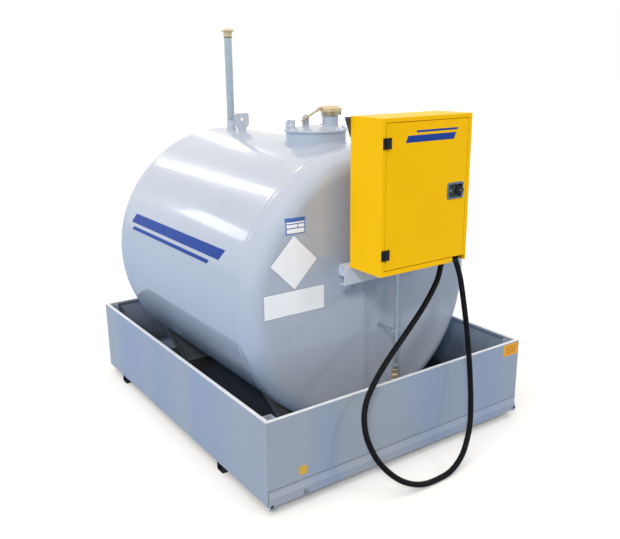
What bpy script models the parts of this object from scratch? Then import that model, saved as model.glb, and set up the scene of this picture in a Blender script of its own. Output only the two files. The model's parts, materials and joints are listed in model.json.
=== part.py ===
"""Horizontal steel fuel tank on saddles in an open spill bund, with a lockable pump cabinet.

Metres, +Z up. X = 0 is the tank's axis, -Y is the cabinet's end, and z = 0 is the floor under
the skids. The origin is under the middle of the whole outline.
"""
import math

import bmesh
import bpy
from mathutils import Matrix, Vector

# Clearances
GAP = 0.0003
DOOR_GAP = 0.003
RUNNING_GAP = 0.0006

# Tank
TANK_RADIUS = 0.755
TANK_WALL = 0.005
TANK_LENGTH = 1.719
TANK_FACETS = 72
TANK_CLEARANCE = 0.052
KNUCKLE_RADIUS = 0.105
KNUCKLE_STEPS = 4
END_SKIRT = 0.030

# Bund
BUND_WIDTH = 1.710
BUND_FRONT_SPACE = 0.3185
BUND_BACK_SPACE = 0.0375
BUND_HEIGHT = 0.437
BUND_SHEET = 0.004
BUND_RIM = 0.020
BUND_LIP = 0.016
STRIP_HEIGHT = 0.084
STRIP_LAP = 0.012
SOCKET_SIZE = 0.046
SOCKET_WALL = 0.003

# Skids
SKID_WIDTH = 0.060
SKID_HEIGHT = 0.045
SKID_WALL = 0.004

# Saddles
SADDLE_FRONT_INSET = 0.162
SADDLE_BACK_INSET = 0.220
SADDLE_WIDTH = 0.060
SADDLE_HALF_STEPS = 10
SADDLE_FOOT_HALF = 0.413
SADDLE_SHEET = 0.006
SADDLE_RIB_HALF_SPACING = 0.200

# Manhole and what stands on its lid
MANHOLE_INSET = 0.489
NECK_RADIUS = 0.1675
NECK_WALL = 0.006
NECK_RISE = 0.057
LID_RADIUS = 0.175
LID_EDGE = 0.012
LID_RISE = 0.018
LID_FACETS = 40
LID_DOME_SHARE = 0.93
LID_DOME_STEPS = 4
FILL_OFFSET = 0.100
FILL_RADIUS = 0.04445
FILL_WALL = 0.004
FILL_BELOW_LID = 0.010
FILL_ABOVE_LID = 0.089
ROUND_FACETS = 24
COLLAR_THICKNESS = 0.006
COLLAR_HEIGHT = 0.022
CAP_RADIUS = 0.0605
CAP_HEIGHT = 0.030
CAP_SKIRT = 0.004
CAP_CROWN_RADIUS = 0.0460
CAP_SHOULDER_RADIUS = 0.0565
CAP_HINGE_OUT = 0.011
CAP_PIN_RADIUS = 0.004
EAR_THICKNESS = 0.008
EAR_WIDTH = 0.085
EAR_HEIGHT = 0.052
EAR_HOLE_RADIUS = 0.010
EAR_OUT = 0.140
EAR_SHIFT = 0.042
EAR_ROUNDING = 0.6
HASP_WIDTH = 0.042
HASP_HEIGHT = 0.078
HASP_THICKNESS = 0.006
HASP_HOLE_RADIUS = 0.006
HASP_HOLE_LIFT = 0.008
HASP_X = -0.0545
HASP_Y = 0.017
LEVER_WIDTH = 0.016
LEVER_THICKNESS = 0.008
LEVER_TOP = 0.027
LEVER_BEND_REACH = 0.028
LEVER_BEND_DROP = 0.003
LEVER_KNEE_REACH = 0.040
LEVER_KNEE_RISE = 0.005
LEVER_REACH = 0.137
LEVER_DIP = 0.042

# Vent
VENT_INSET = 0.260
VENT_RADIUS = 0.02415
VENT_TOP = 2.217
VENT_FACETS = 20
VENT_SOCKET_RADIUS = 0.033
VENT_SOCKET_MOUTH = 0.030
VENT_SOCKET_HEIGHT = 0.060
VENT_CAP_BRIM = 0.043
VENT_CAP_CROWN = 0.031
VENT_CAP_COLLAR = 0.0275
VENT_CAP_HEIGHT = 0.050
VENT_CAP_SLEEVE = 0.022

# Lifting lug
LUG_INSET = 0.405
LUG_WIDTH = 0.100
LUG_NECK = 0.056
LUG_HEIGHT = 0.112
LUG_NECK_HEIGHT = 0.036
LUG_CHAMFER = 0.020
LUG_THICKNESS = 0.008
LUG_HOLE_RADIUS = 0.010
LUG_SIDE_HOLE_RADIUS = 0.0045
LUG_SIDE_HOLE_OUT = 0.026
LUG_SIDE_HOLE_RISE = 0.011
LUG_CORNER = 0.008

# Cabinet
CABINET_WIDTH = 0.570
CABINET_HEIGHT = 0.739
CABINET_DEPTH = 0.234
CABINET_X = 0.072
CABINET_BASE = 1.050
CABINET_SHEET = 0.0025
CABINET_STANDOFF = 0.100
FRAME_SIDE = 0.021
FRAME_TOP = 0.020
FRAME_BOTTOM = 0.025
FRAME_DEPTH = 0.0025
DOOR_SHEET = 0.0025
DOOR_RETURN = 0.016
SLOT_LEFT = 0.262
SLOT_RIGHT = 0.346
SLOT_DEPTH = 0.060
HOSE_HOLE_RADIUS = 0.020
HINGE_HEIGHT = 0.050
HINGE_LEAF = 0.021
HINGE_THICKNESS = 0.005
HINGE_KNUCKLE_RADIUS = 0.0065
HINGE_UPPER_DROP = 0.112
HINGE_LOWER_RISE = 0.105
LOCK_WIDTH = 0.112
LOCK_HEIGHT = 0.084
LOCK_FLANGE = 0.003
LOCK_BORDER = 0.010
LOCK_DEPTH = 0.013
LOCK_WALL = 0.002
LOCK_X = 0.260
LOCK_RISE = 0.368
KNOB_RADIUS = 0.020
KNOB_PROUD = 0.015
KNOB_OFFSET = 0.020
POINTER_REACH = 0.030
POINTER_CLEAR = 0.0055
POINTER_THICKNESS = 0.004

# Cabinet brackets
RAIL_HEIGHT = 0.103
RAIL_DEPTH = 0.040
RAIL_SHEET = 0.004
RAIL_LEFT = -0.246
RAIL_RIGHT = 0.357
RAIL_DROP = 0.091
FRAME_TOP_DROP = 0.004
FRAME_HEAD_HEIGHT = 0.095
FRAME_HEAD_TAPER = 0.033
FRAME_PLATE = 0.006
FRAME_LEG_RISE = 0.5737
FRAME_LEG_LEFT = -0.060
FRAME_LEG_RIGHT = 0.204
RAIL_LEG_WIDTH = 0.040
RAIL_LEG_HEIGHT = 0.050
RAIL_LEG_INSET = 0.060

# Suction line
SUCTION_X = 0.075
SUCTION_RADIUS = 0.011
SUCTION_STANDOFF = 0.131
SUCTION_BASE = 0.442
VALVE_HEIGHT = 0.080
VALVE_RADIUS = 0.022
VALVE_NECK_RADIUS = 0.016
VALVE_TAPER = 0.006
OUTLET_HEIGHT = 0.245
OUTLET_RADIUS = 0.016
OUTLET_BEND = 0.045
CLAMP_HEIGHT = 0.656
CLAMP_WIDTH = 0.024
CLAMP_THICKNESS = 0.004
CLAMP_STUD_RADIUS = 0.005

# Pump behind the door
PUMP_WIDTH = 0.120
PUMP_DEPTH = 0.165
PUMP_HEIGHT = 0.150
PUMP_RISE = 0.115
MOTOR_RADIUS = 0.050
MOTOR_LENGTH = 0.150
METER_RADIUS = 0.056
METER_DEPTH = 0.080
METER_X = 0.215
METER_INLET_RADIUS = 0.016

# Hose
HOSE_RADIUS = 0.0145
HOSE_POINTS = 72
HOSE_END_RISE = 0.090
HOSE_ENTRY_RISE = 0.040
NOZZLE_END_RISE = 0.080
HOSE_OUT_X = 0.300
HOSE_IN_X = 0.322
HOSE_OUT_INSET = 0.103
HOSE_STRAIGHT = 0.060
TAIL_RADIUS = 0.017
NOZZLE_INSET = 0.052
NOZZLE_NECK = 0.120
NOZZLE_HEAD = 0.070
NOZZLE_HEAD_RADIUS = 0.024
HOLDER_WIDTH = 0.050
HOLDER_HEIGHT = 0.020

# Places worked out from the sizes above
BUND_LENGTH = BUND_FRONT_SPACE + TANK_LENGTH + BUND_BACK_SPACE
BUND_BASE = SKID_HEIGHT + GAP
BUND_TOP = BUND_BASE + BUND_HEIGHT
FLOOR_TOP = BUND_BASE + BUND_SHEET
TANK_Z = FLOOR_TOP + TANK_CLEARANCE + TANK_RADIUS
TANK_TOP = TANK_Z + TANK_RADIUS
TANK_FRONT_OFFSET = BUND_LENGTH / 2 - BUND_FRONT_SPACE
FRONT_REACH = TANK_FRONT_OFFSET + CABINET_STANDOFF + CABINET_DEPTH + KNOB_PROUD
BUND_Y = (FRONT_REACH - BUND_LENGTH / 2) / 2
TANK_FRONT = BUND_Y - TANK_FRONT_OFFSET
TANK_BACK = TANK_FRONT + TANK_LENGTH
SHELL_FRONT = TANK_FRONT + KNUCKLE_RADIUS + END_SKIRT
SHELL_BACK = TANK_BACK - KNUCKLE_RADIUS - END_SKIRT
MANHOLE_Y = TANK_FRONT + MANHOLE_INSET
LID_BASE = TANK_TOP + NECK_RISE
LID_SHOULDER = LID_BASE + LID_EDGE
FILL_TOP = LID_SHOULDER + FILL_ABOVE_LID
COLLAR_BASE = FILL_TOP - COLLAR_HEIGHT
CAP_BASE = FILL_TOP + GAP
CAP_HINGE_X = FILL_OFFSET + CAP_RADIUS + CAP_HINGE_OUT
CAP_HINGE_Z = CAP_BASE + CAP_HEIGHT / 3
CABINET_BACK = TANK_FRONT - CABINET_STANDOFF
CABINET_FRONT = CABINET_BACK - CABINET_DEPTH
CABINET_TOP = CABINET_BASE + CABINET_HEIGHT
CABINET_LEFT = CABINET_X - CABINET_WIDTH / 2
CABINET_RIGHT = CABINET_X + CABINET_WIDTH / 2
DOOR_LEFT = CABINET_LEFT + FRAME_SIDE + DOOR_GAP
DOOR_RIGHT = CABINET_RIGHT - FRAME_SIDE - DOOR_GAP
DOOR_BASE = CABINET_BASE + FRAME_BOTTOM + DOOR_GAP
DOOR_TOP = CABINET_TOP - FRAME_TOP - DOOR_GAP
HINGE_X = CABINET_LEFT + FRAME_SIDE + DOOR_GAP / 2
LOCK_Z = CABINET_BASE + LOCK_RISE
RAIL_BASE = CABINET_BASE - RAIL_DROP
FRAME_LEG_TOP = TANK_Z + FRAME_LEG_RISE
PUMP_BASE = CABINET_BASE + PUMP_RISE
HOSE_END_Z = CABINET_BASE + HOSE_END_RISE
NOZZLE_END_Z = CABINET_BASE + NOZZLE_END_RISE
HINGE_Y = CABINET_FRONT - GAP - HINGE_KNUCKLE_RADIUS
SUCTION_Y = TANK_FRONT - SUCTION_STANDOFF

MATERIALS = {
    "tank_paint": ((0.60, 0.62, 0.65), 0.22, 0.0),
    "bund_paint": ((0.40, 0.45, 0.52), 0.40, 0.0),
    "skid_paint": ((0.03, 0.03, 0.035), 0.50, 0.0),
    "galvanised": ((0.52, 0.54, 0.56), 0.45, 0.9),
    "brass": ((0.62, 0.43, 0.18), 0.35, 1.0),
    "yellow_paint": ((0.95, 0.60, 0.0), 0.35, 0.0),
    "black_plastic": ((0.02, 0.02, 0.02), 0.45, 0.0),
    "lock_metal": ((0.55, 0.57, 0.60), 0.20, 1.0),
    "cast_metal": ((0.30, 0.31, 0.33), 0.50, 0.6),
    "hose_rubber": ((0.015, 0.015, 0.016), 0.50, 0.0),
}


def clear_scene():
    for item in list(bpy.data.objects):
        bpy.data.objects.remove(item, do_unlink=True)


def make_collection(name):
    collection = bpy.data.collections.new(name)
    bpy.context.scene.collection.children.link(collection)
    return collection


def make_material(name):
    colour, roughness, metallic = MATERIALS[name]
    material = bpy.data.materials.new(name)
    material.use_nodes = True
    shader = material.node_tree.nodes["Principled BSDF"]
    shader.inputs["Base Color"].default_value = (*colour, 1.0)
    shader.inputs["Roughness"].default_value = roughness
    shader.inputs["Metallic"].default_value = metallic
    return material


clear_scene()
PARTS = make_collection("fuel_tank")
CUTTERS = make_collection("cutters")
PAINTS = {name: make_material(name) for name in MATERIALS}


def add_object(name, mesh, paint):
    """Link a mesh as a named part with its own copy of a material."""
    item = bpy.data.objects.new(name, mesh)
    mesh.materials.clear()
    mesh.materials.append(PAINTS[paint])
    PARTS.objects.link(item)
    return item


def add_cutter(name, mesh):
    item = bpy.data.objects.new(name, mesh)
    item.hide_render = True
    item.display_type = "WIRE"
    CUTTERS.objects.link(item)
    return item


def smooth(item):
    item.data.shade_smooth()
    item.data.set_sharp_from_angle(angle=math.radians(35))
    return item


def mesh_from(name, builder):
    mesh = bpy.data.meshes.new(name)
    form = bmesh.new()
    builder(form)
    bmesh.ops.recalc_face_normals(form, faces=form.faces)
    form.to_mesh(mesh)
    form.free()
    return mesh


def box_mesh(name, low, high):
    """A box between two opposite corners."""
    low = Vector(low)
    high = Vector(high)

    def builder(form):
        bmesh.ops.create_cube(form, size=1.0)
        size = high - low
        bmesh.ops.scale(form, vec=size, verts=form.verts)
        bmesh.ops.translate(form, vec=(low + high) / 2, verts=form.verts)

    return mesh_from(name, builder)


def cylinder_mesh(name, start, end, radius, facets, end_radius=None):
    """A cylinder or cone between two points."""
    start = Vector(start)
    end = Vector(end)
    axis = end - start
    turn = axis.to_track_quat("Z", "Y").to_matrix().to_4x4()
    place = Matrix.Translation((start + end) / 2) @ turn

    def builder(form):
        bmesh.ops.create_cone(
            form,
            cap_ends=True,
            segments=facets,
            radius1=radius,
            radius2=radius if end_radius is None else end_radius,
            depth=axis.length,
            matrix=place,
        )

    return mesh_from(name, builder)


def box(name, low, high, paint):
    return add_object(name, box_mesh(name, low, high), paint)


def cylinder(name, start, end, radius, paint, facets=ROUND_FACETS, end_radius=None):
    return smooth(add_object(name, cylinder_mesh(name, start, end, radius, facets, end_radius), paint))


def boolean(item, tool, operation):
    modifier = item.modifiers.new(f"{operation.lower()}_{tool.name}", "BOOLEAN")
    modifier.operation = operation
    modifier.solver = "EXACT"
    modifier.object = tool
    return item


def cut(item, mesh):
    return boolean(item, add_cutter(f"cut_{mesh.name}", mesh), "DIFFERENCE")


def join(item, mesh):
    return boolean(item, add_cutter(f"add_{mesh.name}", mesh), "UNION")


def turned(name, profile, paint, facets, place=(0.0, 0.0, 0.0), along_y=False):
    """Turn a closed (radius, height) profile about its axis; without a paint it is a cutter."""
    mesh = bpy.data.meshes.new(name)
    points = [(radius, 0.0, height) for radius, height in profile]
    count = len(points)
    edges = [(i, i + 1) for i in range(count - 1)]
    if profile[0][0] > 0.0:
        edges.append((count - 1, 0))
    mesh.from_pydata(points, edges, [])
    item = add_object(name, mesh, paint) if paint else add_cutter(name, mesh)
    item.location = place
    if along_y:
        item.rotation_euler = (math.radians(-90.0), 0.0, 0.0)
    screw = item.modifiers.new("turn", "SCREW")
    screw.axis = "Z"
    screw.angle = math.tau
    screw.steps = facets
    screw.render_steps = facets
    screw.use_merge_vertices = True
    screw.merge_threshold = 0.0001
    screw.use_smooth_shade = False
    return item


def outline_mesh(name, loops, thickness, place):
    """Fill flat closed loops, holes included, extrude them evenly and set the result in place."""
    curve = bpy.data.curves.new(name, "CURVE")
    curve.dimensions = "2D"
    curve.fill_mode = "BOTH"
    curve.extrude = thickness / 2
    for loop in loops:
        spline = curve.splines.new("POLY")
        spline.points.add(len(loop) - 1)
        for point, (x, y) in zip(spline.points, loop):
            point.co = (x, y, 0.0, 1.0)
        spline.use_cyclic_u = True
    guide = bpy.data.objects.new(name, curve)
    PARTS.objects.link(guide)
    guide.matrix_world = place
    return mesh_of_curve(guide, name)


def mesh_of_curve(guide, name):
    """Mesh a curve object in world space, weld its caps and remove the curve."""
    bpy.context.view_layer.update()
    graph = bpy.context.evaluated_depsgraph_get()
    mesh = bpy.data.meshes.new_from_object(guide.evaluated_get(graph))
    mesh.name = name
    mesh.transform(guide.matrix_world)
    form = bmesh.new()
    form.from_mesh(mesh)
    bmesh.ops.remove_doubles(form, verts=form.verts, dist=0.00001)
    bmesh.ops.recalc_face_normals(form, faces=form.faces)
    form.to_mesh(mesh)
    form.free()
    bpy.data.objects.remove(guide, do_unlink=True)
    return mesh


def tube_mesh(name, points, radius, resolution=2):
    """A round bar along a polyline."""
    curve = bpy.data.curves.new(name, "CURVE")
    curve.dimensions = "3D"
    curve.bevel_depth = radius
    curve.bevel_resolution = resolution
    curve.use_fill_caps = True
    spline = curve.splines.new("POLY")
    spline.points.add(len(points) - 1)
    for point, place in zip(spline.points, points):
        point.co = (*place, 1.0)
    guide = bpy.data.objects.new(name, curve)
    PARTS.objects.link(guide)
    return mesh_of_curve(guide, name)


def hang_on(name, place, items):
    """Carry finished pieces on an empty that stands on their joint's axis."""
    pivot = bpy.data.objects.new(name, None)
    pivot.location = place
    PARTS.objects.link(pivot)
    for item in items:
        item.parent = pivot
        item.matrix_parent_inverse = Matrix.Translation(place).inverted()
    return pivot


def facing_y(x, y, z):
    """Place a flat outline upright, its own x along X and its own y along Z."""
    return Matrix.Translation((x, y, z)) @ Matrix.Rotation(math.radians(90.0), 4, "X")


def facing_x(x, y, z):
    """Place a flat outline upright, its own x along Y and its own y along Z."""
    return Matrix.Translation((x, y, z)) @ Matrix.Rotation(math.radians(90.0), 4, "Z") @ Matrix.Rotation(
        math.radians(90.0), 4, "X"
    )


def circle(radius, centre=(0.0, 0.0), steps=16):
    angles = [math.tau * i / steps for i in range(steps)]
    return [(centre[0] + radius * math.cos(a), centre[1] + radius * math.sin(a)) for a in angles]


def rectangle(left, bottom, right, top):
    return [(left, bottom), (right, bottom), (right, top), (left, top)]


def arc(radius, start, end, steps, centre=(0.0, 0.0)):
    """Points of an arc, ends included, with angles in degrees."""
    angles = [math.radians(start + (end - start) * i / steps) for i in range(steps + 1)]
    return [(centre[0] + radius * math.cos(a), centre[1] + radius * math.sin(a)) for a in angles]


def tank_cutter(name):
    """The tank's own faceted cylinder, grown by the seating gap."""
    return cylinder_mesh(
        name,
        (0.0, TANK_FRONT, TANK_Z),
        (0.0, TANK_BACK, TANK_Z),
        TANK_RADIUS + GAP,
        TANK_FACETS,
    )


# Bund


def mitred_wall(name, base, length, depth, turn):
    """A folded wall sheet with a rim turned inward and a lip turned down, mitred at both ends."""
    sheet = BUND_SHEET
    height = BUND_TOP - base
    section = [
        (0.0, 0.0),
        (0.0, height),
        (BUND_RIM, height),
        (BUND_RIM, height - BUND_LIP),
        (BUND_RIM - sheet, height - BUND_LIP),
        (BUND_RIM - sheet, height - sheet),
        (sheet, height - sheet),
        (sheet, 0.0),
    ]
    half = length / 2

    def builder(form):
        verts = [form.verts.new((-half, inward, base + up)) for inward, up in section]
        face = form.faces.new(verts)
        grown = bmesh.ops.extrude_face_region(form, geom=[face])
        far = [item for item in grown["geom"] if isinstance(item, bmesh.types.BMVert)]
        bmesh.ops.translate(form, vec=(length, 0.0, 0.0), verts=far)
        for vert in form.verts:
            inset = vert.co.y + GAP
            vert.co.x -= math.copysign(inset, vert.co.x)

    mesh = mesh_from(name, builder)
    wall = add_object(name, mesh, "bund_paint")
    middle = Matrix.Translation((0.0, BUND_Y, 0.0))
    outward = Matrix.Translation((0.0, -depth / 2, 0.0))
    wall.matrix_world = middle @ Matrix.Rotation(math.radians(turn), 4, "Z") @ outward
    return wall


def make_bund():
    front = BUND_Y - BUND_LENGTH / 2
    back = BUND_Y + BUND_LENGTH / 2
    strip_top = BUND_BASE + STRIP_HEIGHT
    half_inside = BUND_WIDTH / 2 - BUND_SHEET - GAP
    strip_front = front + BUND_SHEET + GAP
    strip_back = back - BUND_SHEET - GAP
    mitred_wall("bund_front_wall", strip_top, BUND_WIDTH, BUND_LENGTH, 0.0)
    mitred_wall("bund_back_wall", strip_top, BUND_WIDTH, BUND_LENGTH, 180.0)
    mitred_wall("bund_left_wall", BUND_BASE, BUND_LENGTH, BUND_WIDTH, -90.0)
    mitred_wall("bund_right_wall", BUND_BASE, BUND_LENGTH, BUND_WIDTH, 90.0)
    lap_top = strip_top + STRIP_LAP
    box(
        "bund_front_strip",
        (-half_inside, strip_front, BUND_BASE),
        (half_inside, strip_front + BUND_SHEET, lap_top),
        "bund_paint",
    )
    box(
        "bund_back_strip",
        (-half_inside, strip_back - BUND_SHEET, BUND_BASE),
        (half_inside, strip_back, lap_top),
        "bund_paint",
    )
    box(
        "bund_floor",
        (-half_inside, strip_front + BUND_SHEET + GAP, BUND_BASE),
        (half_inside, strip_back - BUND_SHEET - GAP, FLOOR_TOP),
        "bund_paint",
    )
    for side_name, side in (("left", -1), ("right", 1)):
        for end_name, end in (("front", -1), ("back", 1)):
            make_socket(f"post_socket_{end_name}_{side_name}", side, end)


def make_socket(name, side, end):
    """An open square socket in a corner of the bund, against both rims."""
    outer_x = side * (BUND_WIDTH / 2 - BUND_RIM - GAP)
    outer_y = BUND_Y + end * (BUND_LENGTH / 2 - BUND_RIM - GAP)
    x = outer_x - side * SOCKET_SIZE / 2
    y = outer_y - end * SOCKET_SIZE / 2
    half = SOCKET_SIZE / 2
    base = FLOOR_TOP + GAP
    inner = half - SOCKET_WALL
    height = BUND_TOP - base
    place = Matrix.Translation((x, y, base + height / 2))
    loops = [rectangle(-half, -half, half, half), rectangle(-inner, -inner, inner, inner)]
    add_object(name, outline_mesh(name, loops, height, place), "bund_paint")


def make_skid(name, y):
    """A rectangular tube right across the bund, open at both ends."""
    half = SKID_WIDTH / 2
    inner = half - SKID_WALL
    loops = [
        rectangle(-half, 0.0, half, SKID_HEIGHT),
        rectangle(-inner, SKID_WALL, inner, SKID_HEIGHT - SKID_WALL),
    ]
    add_object(name, outline_mesh(name, loops, BUND_WIDTH, facing_x(0.0, y, 0.0)), "skid_paint")


def saddle_edge(inset):
    """The saddle's outline in X and Z, drawn in by an inset on every side."""
    base = FLOOR_TOP + GAP + inset
    step = 360.0 / TANK_FACETS
    radius = TANK_RADIUS + GAP + inset
    angle = 270.0 - SADDLE_HALF_STEPS * step
    top = arc(radius, angle, 540.0 - angle, 2 * SADDLE_HALF_STEPS, (0.0, TANK_Z))
    full_tip = arc(TANK_RADIUS + GAP, angle, angle + step, 1, (0.0, TANK_Z))[0]
    lean = (-full_tip[0] - SADDLE_FOOT_HALF) / (full_tip[1] - FLOOR_TOP - GAP)
    side_shift = inset * math.sqrt(1.0 + lean * lean)
    rise = FLOOR_TOP + GAP
    top = [(x, z) for x, z in top if abs(x) < SADDLE_FOOT_HALF + lean * (z - rise) - side_shift + GAP]
    foot = SADDLE_FOOT_HALF + lean * inset - side_shift
    return [(foot, base), (-foot, base)] + top


def make_saddle(name, y):
    """A cradle of folded plate: one web, flanges all round it and two upright ribs a side."""
    place = facing_y(0.0, y, 0.0)
    item = add_object(name, outline_mesh(name, [saddle_edge(0.0)], SADDLE_WIDTH, place), "bund_paint")
    pocket_depth = (SADDLE_WIDTH - SADDLE_SHEET) / 2
    bays = saddle_bays()
    for side_name, side in (("front", -1), ("back", 1)):
        centre = y + side * (SADDLE_WIDTH / 2 - pocket_depth / 2 + GAP)
        pocket_place = facing_y(0.0, centre, 0.0)
        for index, bay in enumerate(bays):
            pocket_name = f"{name}_{side_name}_{index}"
            cut(item, outline_mesh(pocket_name, [bay], pocket_depth + 2 * GAP, pocket_place))
    return item


def saddle_bays():
    """The pocket outlines between the ribs, from left to right."""
    inner = saddle_edge(SADDLE_SHEET)
    limits = [-SADDLE_RIB_HALF_SPACING, SADDLE_RIB_HALF_SPACING]
    half_rib = SADDLE_SHEET / 2
    spans = [
        (-TANK_RADIUS, limits[0] - half_rib),
        (limits[0] + half_rib, limits[1] - half_rib),
        (limits[1] + half_rib, TANK_RADIUS),
    ]
    return [clip_outline(inner, low, high) for low, high in spans]


def clip_outline(points, low, high):
    """Keep the part of a closed outline between two upright lines."""
    for limit, keep_above in ((low, True), (high, False)):
        kept = []
        count = len(points)
        for i in range(count):
            here = points[i]
            after = points[(i + 1) % count]
            inside = here[0] >= limit if keep_above else here[0] <= limit
            inside_after = after[0] >= limit if keep_above else after[0] <= limit
            if inside:
                kept.append(here)
            if inside != inside_after:
                share = (limit - here[0]) / (after[0] - here[0])
                kept.append((limit, here[1] + share * (after[1] - here[1])))
        points = kept
    return points


# Tank


def end_profile():
    """Half section of a flat end with its knuckle and skirt, from the middle outward and back."""
    corner = KNUCKLE_RADIUS
    flat = TANK_RADIUS - corner
    outer = [(0.0, 0.0)]
    outer += [(flat + corner * math.sin(a), corner - corner * math.cos(a)) for a in knuckle_angles()]
    skirt_end = corner + END_SKIRT - GAP
    outer.append((TANK_RADIUS, skirt_end))
    inner_corner = corner - TANK_WALL
    inner = [(TANK_RADIUS - TANK_WALL, skirt_end)]
    for angle in reversed(knuckle_angles()):
        inner.append((flat + inner_corner * math.sin(angle), corner - inner_corner * math.cos(angle)))
    inner.append((0.0, TANK_WALL))
    return outer + inner


def knuckle_angles():
    return [math.radians(90.0 * i / KNUCKLE_STEPS) for i in range(KNUCKLE_STEPS + 1)]


def make_tank():
    length = SHELL_BACK - SHELL_FRONT
    inner = TANK_RADIUS - TANK_WALL
    profile = [(TANK_RADIUS, length), (TANK_RADIUS, 0.0), (inner, 0.0), (inner, length)]
    shell = turned("tank_shell", profile, "tank_paint", TANK_FACETS, (0.0, SHELL_FRONT, TANK_Z), along_y=True)
    neck_inner = NECK_RADIUS - NECK_WALL
    hole = cylinder_mesh(
        "manhole",
        (0.0, MANHOLE_Y, TANK_Z),
        (0.0, MANHOLE_Y, TANK_TOP + NECK_RISE),
        neck_inner,
        LID_FACETS,
    )
    cut(shell, hole)
    front = [(radius, depth) for radius, depth in reversed(end_profile())]
    turned("tank_front_end", front, "tank_paint", TANK_FACETS, (0.0, TANK_FRONT, TANK_Z), along_y=True)
    back = [(radius, -depth) for radius, depth in end_profile()]
    turned("tank_back_end", back, "tank_paint", TANK_FACETS, (0.0, TANK_BACK, TANK_Z), along_y=True)


def make_manhole():
    neck_base = TANK_Z + math.sqrt(TANK_RADIUS**2 - NECK_RADIUS**2) - NECK_WALL
    neck_inner = NECK_RADIUS - NECK_WALL
    top = LID_BASE - GAP
    profile = [(NECK_RADIUS, top), (NECK_RADIUS, neck_base), (neck_inner, neck_base), (neck_inner, top)]
    neck = turned("manhole_neck", profile, "tank_paint", LID_FACETS, (0.0, MANHOLE_Y, 0.0))
    cut(neck, tank_cutter("neck_seat"))
    lid = turned("manhole_lid", lid_profile(0.0), "tank_paint", LID_FACETS, (0.0, MANHOLE_Y, 0.0))
    through = cylinder_mesh(
        "lid_hole",
        (FILL_OFFSET, MANHOLE_Y, LID_BASE - LID_EDGE),
        (FILL_OFFSET, MANHOLE_Y, LID_SHOULDER + LID_RISE + LID_EDGE),
        FILL_RADIUS + GAP,
        ROUND_FACETS,
    )
    cut(lid, through)


def lid_profile(growth):
    """Half section of the domed lid, its upper face raised by a growth."""
    shoulder = LID_SHOULDER + growth
    dome_edge = LID_RADIUS * LID_DOME_SHARE
    dome = [
        (dome_edge * i / LID_DOME_STEPS, shoulder + LID_RISE * (1.0 - (i / LID_DOME_STEPS) ** 2))
        for i in range(LID_DOME_STEPS + 1)
    ]
    return dome + [(LID_RADIUS + growth, shoulder), (LID_RADIUS + growth, LID_BASE), (0.0, LID_BASE)]


def seat_on_lid(item):
    """Trim a standing piece to the lid's domed face."""
    seat = turned(f"{item.name}_seat", lid_profile(GAP), None, LID_FACETS, (0.0, MANHOLE_Y, 0.0))
    return boolean(item, seat, "DIFFERENCE")


def make_fill():
    centre = (FILL_OFFSET, MANHOLE_Y, 0.0)
    base = LID_BASE - FILL_BELOW_LID
    inner = FILL_RADIUS - FILL_WALL
    pipe = [(FILL_RADIUS, FILL_TOP), (FILL_RADIUS, base), (inner, base), (inner, FILL_TOP)]
    turned("fill_pipe", pipe, "tank_paint", ROUND_FACETS, centre)
    collar_in = FILL_RADIUS + GAP
    collar_out = collar_in + COLLAR_THICKNESS
    collar_profile = [
        (collar_out, FILL_TOP),
        (collar_out, COLLAR_BASE),
        (collar_in, COLLAR_BASE),
        (collar_in, FILL_TOP),
    ]
    collar = turned("fill_collar", collar_profile, "brass", ROUND_FACETS, centre)
    ear_end = CAP_HINGE_X + CAP_PIN_RADIUS
    ear = box_mesh(
        "collar_ear",
        (FILL_OFFSET + collar_in + COLLAR_THICKNESS / 2, MANHOLE_Y - EAR_THICKNESS / 2, COLLAR_BASE),
        (ear_end, MANHOLE_Y + EAR_THICKNESS / 2, CAP_BASE - GAP),
    )
    join(collar, ear)
    post = box_mesh(
        "collar_post",
        (CAP_HINGE_X - CAP_PIN_RADIUS, MANHOLE_Y - EAR_THICKNESS / 2, COLLAR_BASE + GAP),
        (ear_end, MANHOLE_Y + EAR_THICKNESS / 2, CAP_HINGE_Z + CAP_PIN_RADIUS),
    )
    join(collar, post)
    make_cap()


def make_cap():
    """The hinged fill cap with two hinge ears and a locking lever, turned about its hinge pin."""
    top = CAP_BASE + CAP_HEIGHT
    shoulder = top - CAP_HEIGHT / 4
    profile = [
        (0.0, top),
        (CAP_CROWN_RADIUS, top),
        (CAP_SHOULDER_RADIUS, shoulder),
        (CAP_RADIUS, shoulder - CAP_SKIRT),
        (CAP_RADIUS, CAP_BASE),
        (0.0, CAP_BASE),
    ]
    cap = turned("fill_cap", profile, "brass", ROUND_FACETS, (FILL_OFFSET, MANHOLE_Y, 0.0))
    for side_name, side in (("front", -1), ("back", 1)):
        near = EAR_THICKNESS / 2 + RUNNING_GAP
        far = near + EAR_THICKNESS
        sides = sorted((MANHOLE_Y + side * near, MANHOLE_Y + side * far))
        ear = box_mesh(
            f"cap_ear_{side_name}",
            (FILL_OFFSET + CAP_SHOULDER_RADIUS, sides[0], CAP_HINGE_Z - CAP_PIN_RADIUS),
            (CAP_HINGE_X + CAP_PIN_RADIUS, sides[1], CAP_HINGE_Z + CAP_PIN_RADIUS),
        )
        join(cap, ear)
    lever = outline_mesh(
        "cap_lever",
        [lever_outline()],
        LEVER_WIDTH,
        facing_y(0.0, MANHOLE_Y, 0.0),
    )
    join(cap, lever)
    hang_on("cap_pivot", (CAP_HINGE_X, MANHOLE_Y, CAP_HINGE_Z), [cap])


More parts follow.
